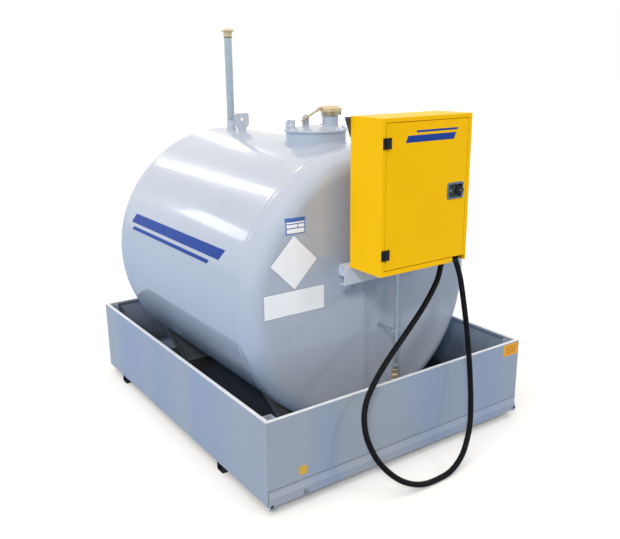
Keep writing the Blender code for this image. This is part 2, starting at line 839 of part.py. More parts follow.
def lever_outline():
    """The lever from the side: a deep root on the cap, a knee, and a straight bar down past the hasp."""
    start = FILL_OFFSET - CAP_SHOULDER_RADIUS
    half = LEVER_THICKNESS / 2
    bend_top = CAP_BASE + LEVER_TOP - LEVER_BEND_DROP
    knee = CAP_BASE + LEVER_KNEE_RISE
    tip = CAP_BASE - LEVER_DIP
    return [
        (start, CAP_BASE + LEVER_TOP),
        (start - LEVER_BEND_REACH, bend_top),
        (start - LEVER_KNEE_REACH, knee + half),
        (start - LEVER_REACH, tip + half),
        (start - LEVER_REACH, tip - half),
        (start - LEVER_KNEE_REACH, knee - half),
        (start - LEVER_BEND_REACH, bend_top - 2 * LEVER_THICKNESS),
        (start, CAP_BASE + LEVER_THICKNESS),
    ]


def make_lid_fittings():
    half = EAR_WIDTH / 2
    corner = EAR_HEIGHT * EAR_ROUNDING
    shape = [(-half, 0.0), (half, 0.0), (half, EAR_HEIGHT - corner)]
    shape += arc(corner, 0.0, 90.0, 4, (half - corner, EAR_HEIGHT - corner))[1:]
    shape.append((-half, EAR_HEIGHT))
    hole = circle(EAR_HOLE_RADIUS, (0.0, EAR_HEIGHT / 2))
    place = facing_x(-EAR_OUT, MANHOLE_Y + EAR_SHIFT, LID_SHOULDER - GAP)
    ear = add_object("lid_ear", outline_mesh("lid_ear", [shape, hole], EAR_THICKNESS, place), "tank_paint")
    seat_on_lid(ear)
    half = HASP_WIDTH / 2
    head = HASP_HEIGHT - half
    shape = [(-half, 0.0), (half, 0.0)] + arc(half, 0.0, 180.0, 8, (0.0, head))
    hole = circle(HASP_HOLE_RADIUS, (0.0, head + HASP_HOLE_LIFT), 12)
    place = facing_y(HASP_X, MANHOLE_Y + HASP_Y, LID_SHOULDER + GAP)
    mesh = outline_mesh("hasp_post", [shape, hole], HASP_THICKNESS, place)
    post = add_object("hasp_post", mesh, "tank_paint")
    seat_on_lid(post)


def make_vent():
    y = TANK_BACK - VENT_INSET
    base = TANK_TOP + GAP
    bore = VENT_RADIUS + GAP
    socket_top = base + VENT_SOCKET_HEIGHT
    socket = [
        (VENT_SOCKET_MOUTH, socket_top),
        (VENT_SOCKET_RADIUS, socket_top - VENT_SOCKET_HEIGHT / 4),
        (VENT_SOCKET_RADIUS, base),
        (bore, base),
        (bore, socket_top),
    ]
    turned("vent_socket", socket, "tank_paint", VENT_FACETS, (0.0, y, 0.0))
    cylinder("vent_pipe", (0.0, y, base), (0.0, y, VENT_TOP), VENT_RADIUS, "galvanised", VENT_FACETS)
    cap_top = VENT_TOP + VENT_CAP_HEIGHT - VENT_CAP_SLEEVE
    sleeve_base = VENT_TOP - VENT_CAP_SLEEVE
    brim_z = cap_top - VENT_CAP_HEIGHT / 4
    cap = [
        (0.0, cap_top),
        (VENT_CAP_CROWN, cap_top),
        (VENT_CAP_BRIM, brim_z),
        (VENT_CAP_COLLAR, brim_z - VENT_CAP_HEIGHT / 4),
        (VENT_CAP_COLLAR, sleeve_base),
        (bore, sleeve_base),
        (bore, VENT_TOP + GAP),
        (0.0, VENT_TOP + GAP),
    ]
    turned("vent_cap", cap, "brass", VENT_FACETS, (0.0, y, 0.0))


def make_lug():
    y = TANK_BACK - LUG_INSET
    half = LUG_WIDTH / 2
    neck = LUG_NECK / 2
    shape = [
        (-neck, 0.0),
        (neck, 0.0),
        (neck, LUG_NECK_HEIGHT - LUG_CHAMFER),
        (half, LUG_NECK_HEIGHT),
        (half, LUG_HEIGHT - LUG_CORNER),
        (half - LUG_CORNER, LUG_HEIGHT),
        (LUG_CORNER - half, LUG_HEIGHT),
        (-half, LUG_HEIGHT - LUG_CORNER),
        (-half, LUG_NECK_HEIGHT),
        (-neck, LUG_NECK_HEIGHT - LUG_CHAMFER),
    ]
    middle = (LUG_NECK_HEIGHT + LUG_HEIGHT) / 2
    hole = circle(LUG_HOLE_RADIUS, (0.0, middle))
    side_hole = circle(LUG_SIDE_HOLE_RADIUS, (-LUG_SIDE_HOLE_OUT, middle + LUG_SIDE_HOLE_RISE), 12)
    place = facing_y(0.0, y, TANK_TOP + GAP)
    mesh = outline_mesh("lifting_lug", [shape, hole, side_hole], LUG_THICKNESS, place)
    add_object("lifting_lug", mesh, "tank_paint")


# Cabinet


def make_cabinet():
    sheet = CABINET_SHEET
    cabinet = box(
        "cabinet_box",
        (CABINET_LEFT, CABINET_FRONT, CABINET_BASE),
        (CABINET_RIGHT, CABINET_BACK, CABINET_TOP),
        "yellow_paint",
    )
    inside = box_mesh(
        "cabinet_inside",
        (CABINET_LEFT + sheet, CABINET_FRONT + FRAME_DEPTH, CABINET_BASE + sheet),
        (CABINET_RIGHT - sheet, CABINET_BACK - sheet, CABINET_TOP - sheet),
    )
    cut(cabinet, inside)
    doorway = box_mesh(
        "doorway",
        (DOOR_LEFT - DOOR_GAP, CABINET_FRONT - sheet, DOOR_BASE - DOOR_GAP),
        (DOOR_RIGHT + DOOR_GAP, CABINET_FRONT + 2 * FRAME_DEPTH, DOOR_TOP + DOOR_GAP),
    )
    cut(cabinet, doorway)
    slot = box_mesh(
        "hose_slot",
        (SLOT_LEFT, CABINET_FRONT - sheet, CABINET_BASE - sheet),
        (SLOT_RIGHT, CABINET_FRONT + SLOT_DEPTH, DOOR_BASE - DOOR_GAP / 2),
    )
    cut(cabinet, slot)
    hose_y = hose_out_y()
    hose_hole = cylinder_mesh(
        "hose_hole",
        (HOSE_OUT_X, hose_y, CABINET_BASE - sheet),
        (HOSE_OUT_X, hose_y, CABINET_BASE + 2 * sheet),
        HOSE_HOLE_RADIUS,
        ROUND_FACETS,
    )
    cut(cabinet, hose_hole)
    pipe_hole = cylinder_mesh(
        "suction_hole",
        (SUCTION_X, SUCTION_Y, CABINET_BASE - sheet),
        (SUCTION_X, SUCTION_Y, CABINET_BASE + 2 * sheet),
        SUCTION_RADIUS + GAP,
        ROUND_FACETS,
    )
    cut(cabinet, pipe_hole)


def hose_out_y():
    return CABINET_FRONT + HOSE_OUT_INSET


def make_door():
    door = box(
        "cabinet_door",
        (DOOR_LEFT, CABINET_FRONT, DOOR_BASE),
        (DOOR_RIGHT, CABINET_FRONT + DOOR_RETURN, DOOR_TOP),
        "yellow_paint",
    )
    hollow = box_mesh(
        "door_hollow",
        (DOOR_LEFT + DOOR_SHEET, CABINET_FRONT + DOOR_SHEET, DOOR_BASE + DOOR_SHEET),
        (DOOR_RIGHT - DOOR_SHEET, CABINET_FRONT + 2 * DOOR_RETURN, DOOR_TOP - DOOR_SHEET),
    )
    cut(door, hollow)
    tub_x = LOCK_WIDTH / 2 - LOCK_BORDER
    tub_z = LOCK_HEIGHT / 2 - LOCK_BORDER
    cut_out = box_mesh(
        "lock_cut_out",
        (LOCK_X - tub_x - GAP, CABINET_FRONT - DOOR_SHEET, LOCK_Z - tub_z - GAP),
        (LOCK_X + tub_x + GAP, CABINET_FRONT + 2 * DOOR_SHEET, LOCK_Z + tub_z + GAP),
    )
    cut(door, cut_out)
    lock = box(
        "lock_plate",
        (LOCK_X - LOCK_WIDTH / 2, CABINET_FRONT - GAP - LOCK_FLANGE, LOCK_Z - LOCK_HEIGHT / 2),
        (LOCK_X + LOCK_WIDTH / 2, CABINET_FRONT - GAP, LOCK_Z + LOCK_HEIGHT / 2),
        "lock_metal",
    )
    tub = box_mesh(
        "lock_tub",
        (LOCK_X - tub_x, CABINET_FRONT - GAP - LOCK_FLANGE / 2, LOCK_Z - tub_z),
        (LOCK_X + tub_x, CABINET_FRONT + LOCK_DEPTH, LOCK_Z + tub_z),
    )
    join(lock, tub)
    recess = box_mesh(
        "lock_recess",
        (LOCK_X - tub_x + LOCK_WALL, CABINET_FRONT - 2 * LOCK_FLANGE, LOCK_Z - tub_z + LOCK_WALL),
        (LOCK_X + tub_x - LOCK_WALL, CABINET_FRONT + LOCK_DEPTH - LOCK_WALL, LOCK_Z + tub_z - LOCK_WALL),
    )
    cut(lock, recess)
    knob_x = LOCK_X + KNOB_OFFSET
    knob = cylinder(
        "lock_knob",
        (knob_x, CABINET_FRONT + LOCK_DEPTH - LOCK_WALL - GAP, LOCK_Z),
        (knob_x, CABINET_FRONT - KNOB_PROUD, LOCK_Z),
        KNOB_RADIUS,
        "black_plastic",
    )
    pointer_back = CABINET_FRONT - LOCK_FLANGE - POINTER_CLEAR
    pointer = box_mesh(
        "knob_pointer",
        (knob_x, pointer_back - POINTER_THICKNESS, LOCK_Z - KNOB_RADIUS / 4),
        (knob_x + POINTER_REACH, pointer_back, LOCK_Z + KNOB_RADIUS / 4),
    )
    join(knob, pointer)
    upper = make_hinge("upper", CABINET_TOP - HINGE_UPPER_DROP)
    lower = make_hinge("lower", CABINET_BASE + HINGE_LOWER_RISE)
    door_pivot = hang_on("door_pivot", (HINGE_X, HINGE_Y, LOCK_Z), [door, lock, upper, lower])
    knob_pivot = hang_on("knob_pivot", (knob_x, CABINET_FRONT, LOCK_Z), [knob])
    knob_pivot.parent = door_pivot
    knob_pivot.matrix_parent_inverse = Matrix.Translation(door_pivot.location).inverted()


def make_hinge(name, centre):
    """A leaf on the frame with the outer knuckles, and a leaf on the door with the middle one."""
    face = CABINET_FRONT - GAP
    front = face - HINGE_THICKNESS
    low = centre - HINGE_HEIGHT / 2
    third = HINGE_HEIGHT / 3
    clear = HINGE_KNUCKLE_RADIUS + RUNNING_GAP
    fixed = box(
        f"{name}_hinge_fixed_leaf",
        (HINGE_X - HINGE_LEAF, front, low),
        (HINGE_X - clear, face, low + HINGE_HEIGHT),
        "black_plastic",
    )
    for index, start in enumerate((low, low + 2 * third + RUNNING_GAP)):
        join(fixed, knuckle_mesh(f"{name}_fixed_{index}", start, third - RUNNING_GAP))
        web = box_mesh(
            f"{name}_fixed_web_{index}",
            (HINGE_X - clear - RUNNING_GAP, front, start),
            (HINGE_X, face, start + third - RUNNING_GAP),
        )
        join(fixed, web)
    moving = box(
        f"{name}_hinge_door_leaf",
        (HINGE_X + clear, front, low),
        (HINGE_X + HINGE_LEAF + HINGE_KNUCKLE_RADIUS, face, low + HINGE_HEIGHT),
        "black_plastic",
    )
    join(moving, knuckle_mesh(f"{name}_moving", low + third, third))
    web = box_mesh(
        f"{name}_moving_web",
        (HINGE_X, front, low + third),
        (HINGE_X + clear + RUNNING_GAP, face, low + 2 * third),
    )
    join(moving, web)
    return moving


def knuckle_mesh(name, start, height):
    end = start + height
    return cylinder_mesh(name, (HINGE_X, HINGE_Y, start), (HINGE_X, HINGE_Y, end), HINGE_KNUCKLE_RADIUS, 16)


def make_rail():
    """A channel under the cabinet's back, open towards the tank, with two legs to the tank's end."""
    front = CABINET_BACK + GAP
    rail = box(
        "cabinet_rail",
        (RAIL_LEFT, front, RAIL_BASE),
        (RAIL_RIGHT, front + RAIL_DEPTH, RAIL_BASE + RAIL_HEIGHT),
        "tank_paint",
    )
    hollow = box_mesh(
        "rail_hollow",
        (RAIL_LEFT - RAIL_SHEET, front + RAIL_SHEET, RAIL_BASE + RAIL_SHEET),
        (RAIL_RIGHT + RAIL_SHEET, front + 2 * RAIL_DEPTH, RAIL_BASE + RAIL_HEIGHT - RAIL_SHEET),
    )
    cut(rail, hollow)
    middle = RAIL_BASE + RAIL_HEIGHT / 2
    for index, x in enumerate((RAIL_LEFT + RAIL_LEG_INSET, RAIL_RIGHT - RAIL_LEG_INSET)):
        leg = box_mesh(
            f"rail_leg_{index}",
            (x - RAIL_LEG_WIDTH / 2, front + RAIL_SHEET / 2, middle - RAIL_LEG_HEIGHT / 2),
            (x + RAIL_LEG_WIDTH / 2, TANK_FRONT - GAP, middle + RAIL_LEG_HEIGHT / 2),
        )
        join(rail, leg)


def make_hanger():
    """A flat frame up the cabinet's back: a head plate with slanted ends, two uprights and two legs."""
    front = CABINET_BACK + GAP
    middle = front + FRAME_PLATE / 2
    top = CABINET_TOP - FRAME_TOP_DROP
    base = top - FRAME_HEAD_HEIGHT
    head = [
        (RAIL_LEFT + FRAME_HEAD_TAPER, base),
        (RAIL_RIGHT, base),
        (RAIL_RIGHT, top),
        (RAIL_LEFT, top),
    ]
    mesh = outline_mesh("cabinet_hanger", [head], FRAME_PLATE, facing_y(0.0, middle, 0.0))
    hanger = add_object("cabinet_hanger", mesh, "galvanised")
    for index, x in enumerate((FRAME_LEG_LEFT, FRAME_LEG_RIGHT)):
        upright = box_mesh(
            f"hanger_upright_{index}",
            (x - RAIL_LEG_WIDTH / 2, front, FRAME_LEG_TOP - RAIL_LEG_HEIGHT),
            (x + RAIL_LEG_WIDTH / 2, front + FRAME_PLATE, base + FRAME_PLATE),
        )
        join(hanger, upright)
        leg = box_mesh(
            f"hanger_leg_{index}",
            (x - RAIL_LEG_WIDTH / 2, middle, FRAME_LEG_TOP - RAIL_LEG_HEIGHT),
            (x + RAIL_LEG_WIDTH / 2, TANK_FRONT - GAP, FRAME_LEG_TOP),
        )
        join(hanger, leg)


# Suction line and pump


def make_suction():
    top = PUMP_BASE - GAP
    cylinder(
        "suction_pipe",
        (SUCTION_X, SUCTION_Y, SUCTION_BASE + GAP),
        (SUCTION_X, SUCTION_Y, top),
        SUCTION_RADIUS,
        "galvanised",
        16,
    )
    valve_base = SUCTION_BASE - VALVE_HEIGHT
    collar = VALVE_HEIGHT / 4
    valve = [
        (0.0, SUCTION_BASE),
        (VALVE_RADIUS, SUCTION_BASE),
        (VALVE_RADIUS, SUCTION_BASE - collar),
        (VALVE_NECK_RADIUS, SUCTION_BASE - collar - VALVE_TAPER),
        (VALVE_NECK_RADIUS, valve_base + collar + VALVE_TAPER),
        (VALVE_RADIUS, valve_base + collar),
        (VALVE_RADIUS, valve_base),
        (0.0, valve_base),
    ]
    turned("suction_valve", valve, "brass", 16, (SUCTION_X, SUCTION_Y, 0.0))
    bend = arc(OUTLET_BEND, 180.0, 270.0, 5, (SUCTION_Y + OUTLET_BEND, OUTLET_HEIGHT + OUTLET_BEND))
    points = [(SUCTION_X, SUCTION_Y, valve_base - GAP)]
    points += [(SUCTION_X, y, z) for y, z in bend]
    points.append((SUCTION_X, TANK_FRONT - GAP, OUTLET_HEIGHT))
    mesh = tube_mesh("suction_outlet", points, OUTLET_RADIUS)
    smooth(add_object("suction_outlet", mesh, "galvanised"))
    half = CLAMP_WIDTH / 2
    inner = SUCTION_RADIUS + GAP
    ring = [
        (inner + CLAMP_THICKNESS, half),
        (inner + CLAMP_THICKNESS, -half),
        (inner, -half),
        (inner, half),
    ]
    clamp = turned("pipe_clamp", ring, "galvanised", 16, (SUCTION_X, SUCTION_Y, CLAMP_HEIGHT))
    stud = cylinder_mesh(
        "clamp_stud",
        (SUCTION_X, SUCTION_Y + inner + CLAMP_THICKNESS / 2, CLAMP_HEIGHT),
        (SUCTION_X, TANK_FRONT - GAP, CLAMP_HEIGHT),
        CLAMP_STUD_RADIUS,
        12,
    )
    join(clamp, stud)


def make_pump():
    back = CABINET_BACK - CABINET_SHEET - GAP
    front = back - PUMP_DEPTH
    left = SUCTION_X - PUMP_WIDTH / 2
    right = SUCTION_X + PUMP_WIDTH / 2
    top = PUMP_BASE + PUMP_HEIGHT
    pump = box("pump_body", (left, front, PUMP_BASE), (right, back, top), "cast_metal")
    bevel = pump.modifiers.new("rounded", "BEVEL")
    bevel.width = PUMP_WIDTH / 12
    bevel.segments = 2
    middle_y = (front + back) / 2
    middle_z = PUMP_BASE + PUMP_HEIGHT / 2
    cylinder(
        "pump_motor",
        (left - GAP, middle_y, middle_z),
        (left - MOTOR_LENGTH, middle_y, middle_z),
        MOTOR_RADIUS,
        "black_plastic",
    )
    meter_y = hose_out_y()
    meter = cylinder(
        "flow_meter",
        (METER_X, meter_y - METER_DEPTH / 2, middle_z),
        (METER_X, meter_y + METER_DEPTH / 2, middle_z),
        METER_RADIUS,
        "black_plastic",
    )
    inlet = cylinder_mesh(
        "meter_inlet",
        (right + GAP, meter_y, middle_z),
        (METER_X, meter_y, middle_z),
        METER_INLET_RADIUS,
        16,
    )
    join(meter, inlet)
    bend = arc(OUTLET_BEND, 90.0, 0.0, 5, (HOSE_OUT_X - OUTLET_BEND, middle_z - OUTLET_BEND))
    outlet = [(METER_X, meter_y, middle_z)] + [(x, meter_y, z) for x, z in bend]
    outlet.append((HOSE_OUT_X, meter_y, HOSE_END_Z + GAP))
    join(meter, tube_mesh("meter_outlet", outlet, TAIL_RADIUS))


def nozzle_place():
    """Where the hose meets the nozzle inside the cabinet."""
    return (HOSE_IN_X, CABINET_FRONT + NOZZLE_INSET, NOZZLE_END_Z)


def make_nozzle():
    """The delivery nozzle, hung in a holder on the cabinet's right side."""
    x, y, z = nozzle_place()
    neck_top = z + NOZZLE_NECK
    body = cylinder("nozzle", (x, y, z + GAP), (x, y, neck_top), TAIL_RADIUS, "black_plastic", 16)
    head_base = neck_top - GAP
    head_top = head_base + NOZZLE_HEAD
    join(body, cylinder_mesh("nozzle_head", (x, y, head_base), (x, y, head_top), NOZZLE_HEAD_RADIUS, 16))
    wall = CABINET_RIGHT - CABINET_SHEET - GAP
    holder = box(
        "nozzle_holder",
        (x - HOLDER_WIDTH / 2, y - HOLDER_WIDTH / 2, head_base - GAP - HOLDER_HEIGHT),
        (wall, y + HOLDER_WIDTH / 2, head_base - GAP),
        "galvanised",
    )
    ring = cylinder_mesh(
        "holder_bore",
        (x, y, head_base - 2 * HOLDER_HEIGHT),
        (x, y, head_base + HOLDER_HEIGHT),
        TAIL_RADIUS + GAP,
        16,
    )
    cut(holder, ring)


# Hose


def hose_route():
    """Hand-chosen points along the hose, from the meter's outlet round to the nozzle."""
    nozzle = nozzle_place()
    out_y = hose_out_y()
    shift = BUND_Y
    free = [
        (0.247, -0.965, 0.930),
        (0.148, -0.985, 0.827),
        (0.018, -1.017, 0.738),
        (-0.098, -1.047, 0.668),
        (-0.212, -1.077, 0.594),
        (-0.307, -1.107, 0.518),
        (-0.356, -1.128, 0.459),
        (-0.382, -1.152, 0.390),
        (-0.384, -1.182, 0.307),
        (-0.350, -1.217, 0.206),
        (-0.285, -1.252, 0.120),
        (-0.205, -1.274, 0.060),
        (-0.110, -1.285, 0.024),
        (0.000, -1.285, 0.016),
        (0.095, -1.277, 0.026),
        (0.190, -1.252, 0.062),
        (0.265, -1.215, 0.115),
        (0.309, -1.190, 0.182),
        (0.329, -1.170, 0.284),
        (0.339, -1.150, 0.397),
        (0.341, -1.130, 0.530),
        (0.339, -1.105, 0.686),
        (0.333, -1.075, 0.847),
        (0.330, -1.047, 0.962),
    ]
    start = [
        (HOSE_OUT_X, out_y, HOSE_END_Z),
        (HOSE_OUT_X, out_y, HOSE_END_Z - HOSE_STRAIGHT),
        (0.290, out_y, RAIL_BASE + HOSE_STRAIGHT),
    ]
    end = [
        (HOSE_IN_X, nozzle[1] - HOSE_RADIUS, CABINET_BASE),
        (HOSE_IN_X, nozzle[1], CABINET_BASE + HOSE_ENTRY_RISE),
        nozzle,
    ]
    return start + [(x, y + shift, z) for x, y, z in free] + end


def smooth_points(points, count):
    """Even points on a smooth curve through the given points, by arc length."""
    vectors = [Vector(point) for point in points]
    dense = []
    last = len(vectors) - 1
    for i in range(last):
        before = vectors[max(i - 1, 0)]
        after = vectors[min(i + 2, last)]
        here = vectors[i]
        there = vectors[i + 1]
        for j in range(12):
            t = j / 12
            dense.append(
                0.5
                * (
                    2 * here
                    + (there - before) * t
                    + (2 * before - 5 * here + 4 * there - after) * t**2
                    + (3 * here - before - 3 * there + after) * t**3
                )
            )
    dense.append(vectors[last])
    lengths = [0.0]
    for here, there in zip(dense, dense[1:]):
        lengths.append(lengths[-1] + (there - here).length)
    even = []
    index = 0
    for i in range(count):
        target = lengths[-1] * i / (count - 1)
        while index < len(lengths) - 2 and lengths[index + 1] < target:
            index += 1
        span = lengths[index + 1] - lengths[index]
        share = (target - lengths[index]) / span
        even.append(dense[index].lerp(dense[index + 1], share))
    return even


def make_hose():
    curve = bpy.data.curves.new("hose", "CURVE")
    curve.dimensions = "3D"
    curve.bevel_depth = HOSE_RADIUS
    curve.bevel_resolution = 2
    curve.use_fill_caps = True
    points = smooth_points(hose_route(), HOSE_POINTS)
    spline = curve.splines.new("POLY")
    spline.points.add(len(points) - 1)
    for point, place in zip(spline.points, points):
        point.co = (*place, 1.0)
    curve.materials.append(PAINTS["hose_rubber"])
    hose = bpy.data.objects.new("hose", curve)
    PARTS.objects.link(hose)


make_bund()
make_skid("front_skid", TANK_FRONT + SADDLE_FRONT_INSET)
make_skid("back_skid", TANK_BACK - SADDLE_BACK_INSET)
make_saddle("front_saddle", TANK_FRONT + SADDLE_FRONT_INSET)
make_saddle("back_saddle", TANK_BACK - SADDLE_BACK_INSET)
make_tank()
make_manhole()
make_fill()
make_lid_fittings()
make_vent()
make_lug()
make_cabinet()
make_door()
make_rail()
make_hanger()
make_suction()
make_pump()
make_nozzle()
make_hose()
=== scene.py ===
"""Looks of the steel fuel tank in its spill bund: finishes, fine shapes and small fittings.

Metres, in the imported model's frame: +Z is up, -Y is the pump cabinet's end, and the tank's axis
runs along Y at X = 0. Most pieces take their place from the CAD nodes' own boxes, the others from
the named places below. Small fixed shapes are in millimetres, through mm() and slab_rows().
"""
import json
import math

import bmesh
import bpy
from mathutils import Matrix, Vector


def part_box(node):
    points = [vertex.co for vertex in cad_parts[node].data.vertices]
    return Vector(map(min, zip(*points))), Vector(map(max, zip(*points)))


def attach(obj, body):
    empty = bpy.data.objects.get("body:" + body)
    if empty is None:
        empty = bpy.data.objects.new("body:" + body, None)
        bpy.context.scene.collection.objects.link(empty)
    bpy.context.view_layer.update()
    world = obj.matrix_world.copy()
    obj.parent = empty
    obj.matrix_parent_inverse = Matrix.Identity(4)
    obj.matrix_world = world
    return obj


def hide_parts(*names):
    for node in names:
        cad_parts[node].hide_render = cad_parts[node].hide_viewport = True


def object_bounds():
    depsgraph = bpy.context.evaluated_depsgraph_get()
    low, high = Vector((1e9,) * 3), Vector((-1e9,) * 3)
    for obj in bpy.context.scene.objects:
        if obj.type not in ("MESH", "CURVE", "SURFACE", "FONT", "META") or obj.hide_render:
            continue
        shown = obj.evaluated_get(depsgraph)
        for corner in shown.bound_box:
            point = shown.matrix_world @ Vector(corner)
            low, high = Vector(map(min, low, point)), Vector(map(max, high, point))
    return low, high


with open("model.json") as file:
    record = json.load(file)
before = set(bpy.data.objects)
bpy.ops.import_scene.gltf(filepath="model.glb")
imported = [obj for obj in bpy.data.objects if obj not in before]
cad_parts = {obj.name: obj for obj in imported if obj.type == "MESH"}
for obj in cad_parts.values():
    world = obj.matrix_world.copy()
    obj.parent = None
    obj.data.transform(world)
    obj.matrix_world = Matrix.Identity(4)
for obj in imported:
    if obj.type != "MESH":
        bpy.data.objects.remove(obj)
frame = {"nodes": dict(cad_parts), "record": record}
CAD_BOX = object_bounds()
NODES = frame["nodes"]
BOXES = {name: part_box(name) for name in NODES}


def box(name):
    """A node's lowest and highest corners and its middle."""
    low, high = BOXES[name]
    return low, high, (low + high) / 2


def radius_of(name):
    """Half of a node's width."""
    low, high = BOXES[name]
    return (high.x - low.x) / 2


# Camera
CAMERA_PLACE = (-2.334, -3.521, 2.030)
CAMERA_YAW = 34.66
CAMERA_PITCH = -16.04
CAMERA_ROLL = -0.61
CAMERA_LENS = 41.71
SENSOR_WIDTH = 36.0

# Hose
HOSE_RADIUS = 0.0145
HOSE_STEPS = 180
HOSE_ROUTE = [
    (0.300, -0.93475, 1.140), (0.300, -0.93475, 1.080), (0.290, -0.93475, 1.019),
    (0.247, -0.94975, 0.930), (0.148, -0.96975, 0.827), (0.018, -1.00175, 0.738),
    (-0.098, -1.03175, 0.668), (-0.212, -1.06175, 0.594), (-0.307, -1.09175, 0.518),
    (-0.356, -1.11275, 0.459), (-0.382, -1.13675, 0.390), (-0.384, -1.16675, 0.307),
    (-0.350, -1.20175, 0.206), (-0.285, -1.23675, 0.120), (-0.205, -1.25875, 0.060),
    (-0.110, -1.26925, 0.024), (0.000, -1.26925, 0.016), (0.095, -1.26175, 0.026),
    (0.190, -1.23675, 0.062), (0.265, -1.19975, 0.115), (0.309, -1.17475, 0.182),
    (0.329, -1.15475, 0.284), (0.339, -1.13475, 0.397), (0.341, -1.11475, 0.530),
    (0.339, -1.08975, 0.686), (0.333, -1.05975, 0.847), (0.330, -1.03175, 0.962),
    (0.322, -1.00025, 1.050), (0.322, -0.98575, 1.090), (0.322, -0.98575, 1.130),
]

# Tank
TANK_SEGMENTS = 192
KNUCKLE = 0.105
END_SKIRT = 0.030
WELD_PROUD = 0.0020
WELD_WIDTH = 0.012
TANK_WALL = 0.005
TANK_RADIUS = (BOXES["tank_shell"][1].z - BOXES["tank_shell"][0].z) / 2
TANK_Z = box("tank_shell")[2].z
TANK_FRONT = BOXES["tank_front_end"][0].y

# Manhole, cap and lug
LID_LOW, LID_HIGH, MANHOLE = box("manhole_lid")
FINE = 144
NECK_WALL = 0.006
LID_RISE = 0.018
LID_DOME_SHARE = 0.93
LID_BOLTS = 12
LID_BOLT_CIRCLE = 0.1625
PIN_RADIUS = 0.004
EAR_THICKNESS = 0.008
LUG_FOOT = 0.028

# Bund and cabinet
TAB_HALF = 0.014
TABS = ((-0.841, 0.0335), (0.841, 0.0440))
FOLD_Z = 0.088
FOLD_OUT = 0.010
EARTH_X = -0.646
EARTH_Z = 0.061
STICKER_X, STICKER_Z = 0.7865, 0.440
EARTH_LABEL_X, EARTH_LABEL_Z = -0.659, 0.178
HAZARD_PLACE = (-0.48, 1.095)
PUMP_PORT_X, PUMP_PORT_Y = 0.075, -0.83475
KEY_X = -0.024
KNOB_X = 0.020
SLOT_LEFT = 0.262
SLOT_RIGHT = 0.306
METER_X = 0.215
METER_RADIUS = 0.056
PIPE_BEND = 0.045

# Names of nodes that share a finish or an edge
WALLS = [f"bund_{side}_wall" for side in ("front", "back", "left", "right")]
STRIPS = ["bund_front_strip", "bund_back_strip"]
SADDLES = ["front_saddle", "back_saddle"]
SOCKETS = [f"post_socket_{end}_{side}" for end in ("front", "back") for side in ("left", "right")]
LEAVES = [f"{level}_hinge_{leaf}_leaf" for level in ("upper", "lower") for leaf in ("fixed", "door")]

# Fineness
WELD_PITCH = 0.004
CORNER_STEPS = 5

# Floor and world
FLOOR_REACH = 60.0
WHITE = (1.0, 1.0, 1.0, 1.0)
FLOOR_COLOUR = (0.76, 0.76, 0.76, 1.0)
FLOOR_BOUNCE = (0.36, 0.44, 0.56, 1.0)
FLOOR_GLOW = 0.13
SKY_LOW = (0.33, 0.36, 0.40)
SKY_HIGH = (0.78, 0.745, 0.68)


def new_object(name, data):
    item = bpy.data.objects.new(name, data)
    bpy.context.scene.collection.objects.link(item)
    return item


def make_camera():
    """The camera, placed by its heading, pitch and roll."""
    yaw, pitch, roll = (math.radians(turn) for turn in (CAMERA_YAW, CAMERA_PITCH, CAMERA_ROLL))
    forward = Vector((math.sin(yaw) * math.cos(pitch), math.cos(yaw) * math.cos(pitch), math.sin(pitch)))
    level = Vector((math.cos(yaw), -math.sin(yaw), 0.0))
    upright = level.cross(forward)
    right = math.cos(roll) * level + math.sin(roll) * upright
    up = -math.sin(roll) * level + math.cos(roll) * upright
    data = bpy.data.cameras.new("camera")
    data.sensor_fit = "HORIZONTAL"
    data.sensor_width = SENSOR_WIDTH
    data.lens = CAMERA_LENS
    camera = new_object("camera", data)
    turn = Matrix((right, up, -forward)).transposed().to_4x4()
    camera.matrix_world = Matrix.Translation(CAMERA_PLACE) @ turn
    bpy.context.scene.camera = camera


# Finishes


